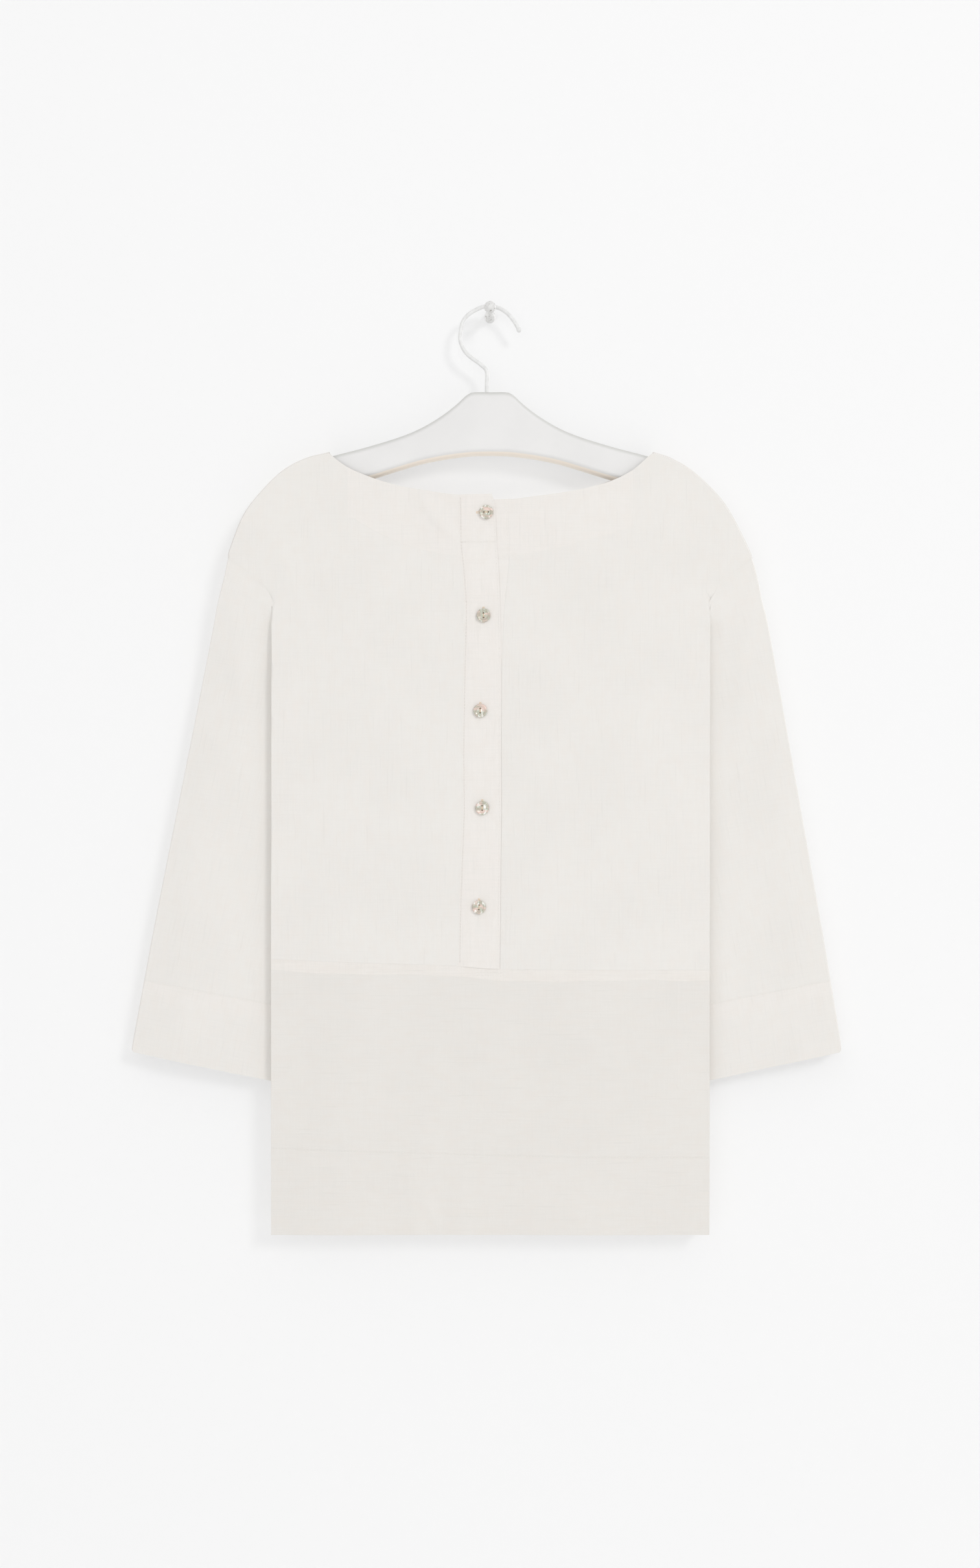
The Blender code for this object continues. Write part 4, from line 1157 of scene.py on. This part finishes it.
# Near its ends the hanger's half thickness is its height and this much more, and its rounding is at most
# this part of half the height
THIN_END, ROUNDEST = 3.0, 0.98
HANGER_QUARTER, HANGER_SECTIONS = 7, 64
HANGER_WHITE, HANGER_CLOUDED = (0.785, 0.777, 0.768), (0.7654, 0.7576, 0.7488)
# Painted warm bounce light for the underside, and painted shade for the rounded top
HANGER_PAINTED_BOUNCE, HANGER_PAINTED_TOP_SHADE = (0.76, 0.69, 0.61), (0.58, 0.58, 0.55)
PAINTED_BOUNCE_GLOW, NO_GLOW = 0.27, (0.0, 0.0, 0.0)


def hanger_section(across, top, under):
    """A ring round the hanger, and how far each point faces down."""
    half_height = (under - top) / 2
    half_thickness = min(HANGER_THICKNESS / 2, half_height * 2 + THIN_END)
    radius = min(HANGER_ROUNDING, half_height * ROUNDEST, half_thickness)
    ring, facing_down = [], []
    for quarter, (front, up) in enumerate(((1, 1), (-1, 1), (-1, -1), (1, -1))):
        for angle in np.linspace(0.0, math.pi / 2, HANGER_QUARTER) + quarter * math.pi / 2:
            depth = SHOULDER_MIDDLE + front * (half_thickness - radius) + radius * math.cos(angle)
            height = -(top + under) / 2 + up * (half_height - radius) + radius * math.sin(angle)
            ring.append((across, depth, height))
            facing_down.append(-math.sin(angle))
    return ring, facing_down


def hanger():
    half = points_at(smooth_curve(HANGER_ROWS, 6), np.linspace(0.0, 1.0, HANGER_SECTIONS))
    rows = np.vstack([half[:0:-1] * (-1.0, 1.0, 1.0), half])
    sections, facing = zip(*(hanger_section(*row) for row in rows))
    return draw_out("hanger_form", sections, facing)


def satin_plastic():
    recipe = Recipe("satin_white")
    place = recipe.place()
    facing_down = recipe.attribute("underside")
    # Where it faces down, the colour is painted warm bounce light, which also glows
    underside, painted_top_shade = facing_down.step(0.55, 0.75), (facing_down * -1.0).step(0.1, 0.9)
    cloudy = recipe.noise(place, (30.0, 30.0, 30.0), 3.0)
    grain = recipe.noise(place, (900.0, 900.0, 900.0))
    white = recipe.blend(cloudy.step(0.3, 0.7), HANGER_WHITE, HANGER_CLOUDED)
    # Where it faces up, the rounded top is painted darker as shade
    shaded = recipe.blend(painted_top_shade * 0.8, white, HANGER_PAINTED_TOP_SHADE)
    return recipe.surface(
        Base_Color=recipe.blend(underside, shaded, HANGER_PAINTED_BOUNCE), Roughness=cloudy * 0.12 + 0.34,
        Normal=recipe.bump(grain, 0.00005, 0.25), Emission_Strength=PAINTED_BOUNCE_GLOW,
        Emission_Color=recipe.blend(underside, NO_GLOW, HANGER_PAINTED_BOUNCE),
    )


finish_piece(hanger(), satin_plastic(), ("hanger_body",))
print("hanger drawn through", 2 * HANGER_SECTIONS - 1, "sections")

# %% [markdown]
# ### Hook and wall peg
# The hook is one bent wire with a white coat and a small ball at its end. The peg is turned wood with worn
# paint: a ball on a stem, with a small foot against the wall.

# %% Hook and peg
HOOK_ROWS = (
    (-3.0, 77.5), (-3.0, 68.0), (-3.0, 56.0), (-8.5, 49.4), (-21.2, 39.7), (-27.2, 29.5), (-27.8, 21.0),
    (-25.4, 9.5), (-19.4, 2.0), (-8.5, -4.0), (0.0, -5.2), (8.5, -3.4), (16.3, 1.6), (22.4, 8.9),
    (26.6, 16.1), (28.2, 19.0),
)
WIRE_RADIUS, TIP_RADIUS, WIRE_SIDES, WIRE_SECTIONS = 1.85, 2.5, 18, 96
# Turns round the ball from the wire to its end, in degrees
TIP_TURNS = (22.0, 45.0, 68.0, 90.0, 112.0, 132.0)
TIP_END, LOOK_AHEAD = 0.06, 0.4
PEG_PROFILE = (
    (4.9, 0.02), (5.2, 0.4), (5.2, 1.6), (4.9, 4.6), (4.6, 7.2), (4.0, 9.6), (3.2, 11.4), (2.9, 13.0),
    (2.9, 26.0),
)
PEG_BALL_RADIUS, PEG_BALL_PLACE, PEG_BALL_END = 5.4, 32.0, 0.06
PEG_SIDES, PEG_BALL_RINGS = 40, 16
WIRE_LIGHT, WIRE_DARK = (0.80, 0.80, 0.79), (0.73, 0.73, 0.72)
PEG_LIGHT, PEG_DARK, PEG_WORN = (0.82, 0.815, 0.80), (0.66, 0.655, 0.645), (0.40, 0.385, 0.365)


def hook():
    curve = smooth_curve(HOOK_ROWS, 10)
    length = lengths_along(curve)[-1]
    ball = TIP_RADIUS * (1.0 - np.cos(np.radians(TIP_TURNS)))
    wire = np.linspace(0.0, length - 2 * TIP_RADIUS, WIRE_SECTIONS)
    runs = np.concatenate([wire, length - ball[::-1], [length - TIP_END]])
    on_ball = runs[WIRE_SECTIONS:] - length + TIP_RADIUS
    radii = np.concatenate([np.full(WIRE_SECTIONS, WIRE_RADIUS), np.sqrt(TIP_RADIUS**2 - on_ball**2)])
    sections = []
    for run, radius in zip(runs, radii):
        shares = np.array([run - LOOK_AHEAD, run, run + LOOK_AHEAD]) / length
        before, here, after = points_at(curve, np.clip(shares, 0.0, 1.0))
        ahead = (after - before) / np.linalg.norm(after - before)
        centre = (here[0], SHOULDER_MIDDLE, -here[1])
        sections.append(round_ring(centre, (ahead[1], 0.0, ahead[0]), (0.0, 1.0, 0.0), radius, WIRE_SIDES))
    return draw_out("hook_wire", sections)


def peg():
    neck = math.asin(PEG_PROFILE[-1][0] / PEG_BALL_RADIUS)
    angles = np.linspace(neck, math.pi - PEG_BALL_END, PEG_BALL_RINGS)
    ball = [(PEG_BALL_RADIUS * math.sin(a), PEG_BALL_PLACE - PEG_BALL_RADIUS * math.cos(a)) for a in angles]
    sections = []
    for radius, out in (*PEG_PROFILE, *ball):
        sections.append(round_ring((0.0, -out, 0.0), (1.0, 0.0, 0.0), (0.0, 0.0, 1.0), radius, PEG_SIDES))
    return draw_out("peg_form", sections)


def white_wire():
    recipe = Recipe("white_wire")
    place = recipe.place()
    coat = recipe.noise(place, (260.0, 260.0, 260.0), 3.0)
    colour = recipe.blend(coat.step(0.35, 0.75), WIRE_LIGHT, WIRE_DARK)
    height = recipe.bump(coat, 0.00012, 0.3)
    return recipe.surface(Base_Color=colour, Roughness=coat * 0.2 + 0.22, Normal=height)


def painted_wood():
    recipe = Recipe("painted_wood")
    place = recipe.place()
    grain = recipe.noise(place, (420.0, 60.0, 420.0), 3.0)
    worn = recipe.noise(place, (300.0, 300.0, 300.0), 5.0, 0.65).step(0.56, 0.64)
    colour = recipe.blend(worn, recipe.blend(grain, PEG_LIGHT, PEG_DARK), PEG_WORN)
    height = recipe.bump(grain * 0.3 - worn * 0.7, 0.0002, 0.6)
    return recipe.surface(Base_Color=colour, Roughness=worn * 0.25 + 0.35, Normal=height)


finish_piece(hook(), white_wire(), ("hanger_hook", "hanger_hook_tip"))
finish_piece(peg(), painted_wood(), ("wall_peg",))
print("hook and peg drawn")

# %% [markdown]
# ## Buttons
# Five small two-hole buttons of shell, turned with a raised rim and a shallow dish. One is modelled, and
# the others are copies. The first is sewn with its holes level and the rest with their holes upright.

# %% A turned shell button
BUTTON_RADIUS, BUTTON_EDGE, BUTTON_FOOT = 6.3, 0.9, 1.0
# Inset towards the centre and rise for each step over the rim and into the dish
BUTTON_STEPS = (
    (0.30, 0.34), (0.35, 0.16), (0.45, 0.04), (0.45, -0.10), (0.45, -0.26), (0.50, -0.24), (0.70, -0.12),
    (1.10, -0.04),
)
BUTTON_UNDER_STEPS = ((0.5, -0.5), (0.8, -0.5))
HOLE_RADIUS, HOLE_PLACE, DRILL_LENGTH = 0.9, 1.9, 8.0
BUTTON_SIDES, HOLE_SIDES, BUTTON_EDGE_ANGLE = 48, 20, 34.0
# Across, drop and turn in degrees, from the neck down
BUTTON_ROWS = (
    (-3.6, 189.6, 90.0), (-6.0, 285.0, 0.0), (-9.0, 373.2, 0.0), (-7.2, 463.2, 0.0), (-10.2, 555.0, 6.0),
)


def select_facing(piece, up):
    """Selects the outermost faces that look up or down."""
    bpy.ops.object.mode_set(mode="OBJECT")
    for face in piece.data.polygons:
        face.select = face.normal.z * up > 0.99
    bpy.ops.object.mode_set(mode="EDIT")


def shell_button():
    deselect()
    bpy.ops.mesh.primitive_cylinder_add(
        vertices=BUTTON_SIDES, radius=BUTTON_RADIUS * MM, depth=BUTTON_EDGE * MM,
        location=(0.0, 0.0, (BUTTON_FOOT + BUTTON_EDGE / 2) * MM),
    )
    piece = bpy.context.active_object
    bpy.ops.object.transform_apply(location=True, rotation=False, scale=False)
    edit(piece)
    for up, steps in ((1, BUTTON_STEPS), (-1, BUTTON_UNDER_STEPS)):
        bpy.ops.mesh.select_mode(type="FACE")
        select_facing(piece, up)
        for inset, rise in steps:
            bpy.ops.mesh.inset(thickness=inset * MM)
            bpy.ops.transform.translate(value=(0.0, 0.0, rise * MM))
    bpy.ops.object.mode_set(mode="OBJECT")
    for side in (-1, 1):
        deselect()
        bpy.ops.mesh.primitive_cylinder_add(
            vertices=HOLE_SIDES, radius=HOLE_RADIUS * MM, depth=DRILL_LENGTH * MM,
            location=(0.0, side * HOLE_PLACE * MM, 0.0),
        )
        drill = bpy.context.active_object
        cut = piece.modifiers.new("Hole", "BOOLEAN")
        cut.object = drill
        apply_modifier(piece, cut)
        bpy.data.objects.remove(drill, do_unlink=True)
    smooth_by_angle(piece, BUTTON_EDGE_ANGLE)
    return piece


def turned_copy(model, name, across, drop, depth, turn):
    """A copy of a model that was made flat, stood up against the front with its own turn."""
    piece = new_piece(name, model.data.copy())
    piece.data.name = name
    stand = Matrix.Rotation(math.pi / 2, 4, "X")
    spin = Matrix.Rotation(math.radians(turn), 4, "Y")
    piece.data.transform(Matrix.Translation((across * MM, depth * MM, -drop * MM)) @ spin @ stand)
    return piece


print("button sides:", BUTTON_SIDES)

# %% Shell finish and the five buttons
BUTTON_GAP = 0.3
SHELL_GREY, SHELL_GREEN = (0.48, 0.43, 0.35), (0.46, 0.52, 0.41)
SHELL_PINK, SHELL_BRIGHT = (0.75, 0.58, 0.51), (0.94, 0.92, 0.88)


def shell():
    """Mother-of-pearl: wavy layers of grey, green and pink under a clear polish."""
    recipe = Recipe("mother_of_pearl")
    place = recipe.place()
    layers = recipe.noise(place, (330.0, 90.0, 150.0), 4.0, 0.6)
    bands = recipe.noise(place, (90.0, 60.0, 260.0))
    grey = recipe.blend(layers.step(0.38, 0.62), SHELL_GREY, SHELL_GREEN)
    pink = recipe.blend(bands.step(0.46, 0.62), grey, SHELL_PINK)
    colour = recipe.blend(layers.step(0.52, 0.66), pink, SHELL_BRIGHT)
    return recipe.surface(
        Base_Color=colour, Roughness=layers * 0.25 + 0.12, Metallic=bands.step(0.3, 0.7) * 0.12,
        Coat_Weight=0.6, Coat_Roughness=0.08, Normal=recipe.bump(layers, 0.00012, 0.5),
    )


button_model = shell_button()
shell_look = shell()
button_depths = []
for number, (across, drop, turn) in enumerate(BUTTON_ROWS, start=1):
    depth = float(body_depth([[across, drop]], -1, OVER_BAND_OUT)[0]) - BUTTON_GAP
    button_depths.append(depth)
    piece = turned_copy(button_model, f"button_{number}_shell", across, drop, depth, turn)
    finish_piece(piece, shell_look, (f"button_{number}",))
bpy.data.objects.remove(button_model, do_unlink=True)
print("buttons:", len(BUTTON_ROWS))

# %% [markdown]
# ## Sewing
# The needle leaves rows of short stitches: along the hem and cuffs, down both edges of the button band,
# across its foot, round each buttonhole and through the buttons. One stitch is modelled and copied. The
# buttonholes and the buttons are sewn with a warmer thread, as small orange points in the photograph show.

# %% Thread
THREAD_LIGHT, THREAD_DARK = (0.83, 0.80, 0.76), (0.75, 0.72, 0.68)
WARM_THREAD_LIGHT, WARM_THREAD_DARK = (0.84, 0.71, 0.55), (0.74, 0.58, 0.42)


def thread(name, light, dark):
    recipe = Recipe(name)
    twist = recipe.noise(recipe.place(), (2600.0, 900.0, 2600.0))
    colour = recipe.blend(twist.step(0.35, 0.7), light, dark)
    return recipe.surface(Base_Color=colour, Roughness=0.7, Normal=recipe.bump(twist, 0.00005, 0.5))


linen_thread = thread("linen_thread", THREAD_LIGHT, THREAD_DARK)
warm_thread = thread("warm_thread", WARM_THREAD_LIGHT, WARM_THREAD_DARK)
print("threads:", linen_thread.name, warm_thread.name)

# %% One stitch, and rows of it
STITCH_LENGTH, STITCH_WIDTH, STITCH_HEIGHT, STITCH_PITCH = 2.2, 0.42, 0.30, 2.9
STITCH_SIDES, STITCH_RINGS, STITCH_DIP, STITCH_AHEAD = 6, 5, 0.35, 0.3


def stitch_shape():
    """One stitch: a short bead of thread whose ends dip into the cloth."""
    deselect()
    bpy.ops.mesh.primitive_uv_sphere_add(segments=STITCH_SIDES, ring_count=STITCH_RINGS, radius=0.5)
    piece = bpy.context.active_object
    edit(piece)
    bpy.ops.mesh.select_all(action="SELECT")
    bpy.ops.transform.resize(value=(STITCH_WIDTH, STITCH_HEIGHT, 1.0))
    bpy.ops.object.mode_set(mode="OBJECT")
    shape = np.array([vertex.co[:] for vertex in piece.data.vertices])
    faces = [tuple(face.vertices) for face in piece.data.polygons]
    bpy.data.objects.remove(piece, do_unlink=True)
    across, up, along = (shape / (STITCH_WIDTH, STITCH_HEIGHT, 1.0)).T
    return np.stack([along, across, up - STITCH_DIP * np.abs(along * 2) ** 3], axis=-1), faces


STITCH, STITCH_FACES = stitch_shape()


def sew(name, places, material=linen_thread):
    """Stitches at rows of centre, direction along, direction out, length, width and height."""
    points, faces = [], []
    for centre, along, outward, length, width, height in places:
        along, outward = np.array(along, float), np.array(outward, float)
        along /= np.linalg.norm(along)
        across = np.cross(outward, along)
        first = len(points) * len(STITCH)
        size = np.array([along * length, across * width, outward * height])
        points.append(drawn_apart(centre) + STITCH @ size)
        faces += [tuple(first + corner for corner in face) for face in STITCH_FACES]
    mesh = bpy.data.meshes.new(name)
    mesh.from_pydata((np.vstack(points) * MM).tolist(), [], faces)
    mesh.shade_smooth()
    finish_piece(new_piece(name, mesh), material)
    print(name, len(places), "stitches")


def row_on_body(line, face, out, pitch=STITCH_PITCH, length=STITCH_LENGTH):
    """Stitch places along an (across, drop) line on the front or back."""
    total = lengths_along(line)[-1]
    middles = np.arange(pitch / 2, total, pitch) / total
    centres = points_at(line, middles)
    ahead = points_at(line, np.clip(middles + STITCH_AHEAD / total, 0.0, 1.0))
    depths, depths_ahead = (body_depth(points, face, out) for points in (centres, ahead))
    outward, size = (0.0, float(face), 0.0), (length, STITCH_WIDTH, STITCH_HEIGHT)
    rows = []
    for (x, drop), (x_on, drop_on), depth, depth_on in zip(centres, ahead, depths, depths_ahead):
        along = (x_on - x, depth_on - depth, drop - drop_on)
        rows.append(((x, depth, -drop), along, outward, *size))
    return rows


print("corners in a stitch:", len(STITCH))

# %% Stitches of the hem
HEM_SEWN_HALF = 201.0
hem_line = stretch_of(HEM_LINE_ROWS, -HEM_SEWN_HALF, HEM_SEWN_HALF)
sew("hem_stitches_front", row_on_body(hem_line, -1, 0.0))
sew("hem_stitches_back", row_on_body(hem_line, 1, 0.0))

# %% Stitches of the button band
BAND_SEWN_DROPS, UNDER_BAND_SEWN_DROPS = (175.0, 606.0), (180.0, 231.0)
BAND_SEAM_ENDS, BAND_SEAM_RISE = (-27.0, 5.0), 0.4
BAND_FOOT_DROPS, BAND_FOOT_ENDS, BAND_FOOT_FALL = (615.4, 618.2), (-12.6, 11.4), 0.6
FOOT_PITCH, FOOT_LENGTH = 2.4, 1.9


def level_line(ends, drop, fall):
    """A straight line between two distances across, which goes down by a small fall."""
    return np.array([[ends[0], drop], [ends[1], drop + fall]])


band_rows = []
for column, inset in ((1, EDGE_STITCH), (2, -EDGE_STITCH)):
    band_rows += row_on_body(placket_line(*BAND_SEWN_DROPS, column, inset), -1, OVER_BAND_OUT)
band_seam = level_line(BAND_SEAM_ENDS, BAND_SEAM_DROP, -BAND_SEAM_RISE)
band_rows += row_on_body(band_seam, -1, OVER_BAND_OUT)
sew("band_stitches", band_rows)
under_line = placket_line(*UNDER_BAND_SEWN_DROPS, 3, -EDGE_STITCH)
sew("under_band_stitches", row_on_body(under_line, -1, 0.0))
foot_rows = []
for drop in BAND_FOOT_DROPS:
    line = level_line(BAND_FOOT_ENDS, drop, BAND_FOOT_FALL)
    foot_rows += row_on_body(line, -1, 0.0, pitch=FOOT_PITCH, length=FOOT_LENGTH)
sew("band_foot_stitches", foot_rows)

# %% Buttonholes
HOLE_PITCH, SLOT_SIDE, SLOT_HALF = 0.62, 0.62, 6.9
LEVEL_TURN, LEVEL_SLOT_LEFT, UPRIGHT_SLOT_UP = 45.0, 1.9, 0.8
# Length, width and height of a stitch over the slot's edge, of a bar at its end and of a strand
HOLE_STITCH, BAR_STITCH, STRAND = (1.15, 0.6, 0.3), (2.5, 0.8, 0.4), (4.1, 0.34, 0.62)
STRAND_SHIFTS, STRAND_OUT = (-0.5, -0.17, 0.17, 0.5), 1.62
RIGHT, UP, FORWARD = np.array((1.0, 0.0, 0.0)), np.array((0.0, 0.0, 1.0)), np.array((0.0, -1.0, 0.0))


def buttonhole(across, drop, turn):
    """Two close rows of stitches over the edges of a slot, with a bar at each end."""
    level = turn > LEVEL_TURN
    across, drop = (across - LEVEL_SLOT_LEFT, drop) if level else (across, drop - UPRIGHT_SLOT_UP)
    depth = float(body_depth([[across, drop]], -1, OVER_BAND_OUT)[0])
    run, over = (RIGHT, UP) if level else (UP, RIGHT)
    centre = np.array((across, depth, -drop))
    rows = []
    for place in np.arange(-SLOT_HALF, SLOT_HALF, HOLE_PITCH):
        for side in (-SLOT_SIDE, SLOT_SIDE):
            rows.append((centre + run * place + over * side, over, FORWARD, *HOLE_STITCH))
    for end in (-SLOT_HALF, SLOT_HALF):
        rows.append((centre + run * end, over, FORWARD, *BAR_STITCH))
    return rows


hole_rows = [stitch for row in BUTTON_ROWS for stitch in buttonhole(*row)]
sew("buttonhole_stitches", hole_rows, warm_thread)

# %% Thread through the buttons
strand_rows = []
for (across, drop, turn), depth in zip(BUTTON_ROWS, button_depths):
    angle = math.radians(turn)
    run = np.array((math.sin(angle), 0.0, math.cos(angle)))
    over = np.array((math.cos(angle), 0.0, -math.sin(angle)))
    centre = np.array((across, depth - STRAND_OUT, -drop))
    strand_rows += [(centre + over * shift, run, FORWARD, *STRAND) for shift in STRAND_SHIFTS]
sew("button_threads", strand_rows, warm_thread)

# %% Cuff stitches
def cuff_rows(name):
    """Stitches all round a flattened cuff, on the ring of the sleeve at the cuff line."""
    grid, depth, row = sleeve_surfaces[name]
    ring = np.stack([grid[row, :, 0], depth[row], -grid[row, :, 1]], axis=-1)
    ring = np.vstack([ring, ring[:1]])
    total = lengths_along(ring)[-1]
    count = int(total // STITCH_PITCH)
    middle = ring[:-1].mean(axis=0)
    rows = []
    for share in (np.arange(count) + 0.5) / count:
        here, ahead = points_at(ring, [share, min(share + STITCH_AHEAD / total, 1.0)])
        outward = np.array((0.0, -1.0 if here[1] < middle[1] else 1.0, 0.0))
        rows.append((here, ahead - here, outward, STITCH_LENGTH, STITCH_WIDTH, STITCH_HEIGHT))
    return rows


for sleeve_name in ("sleeve_left", "sleeve_right"):
    sew(f"{sleeve_name}_cuff_stitches", cuff_rows(sleeve_name))
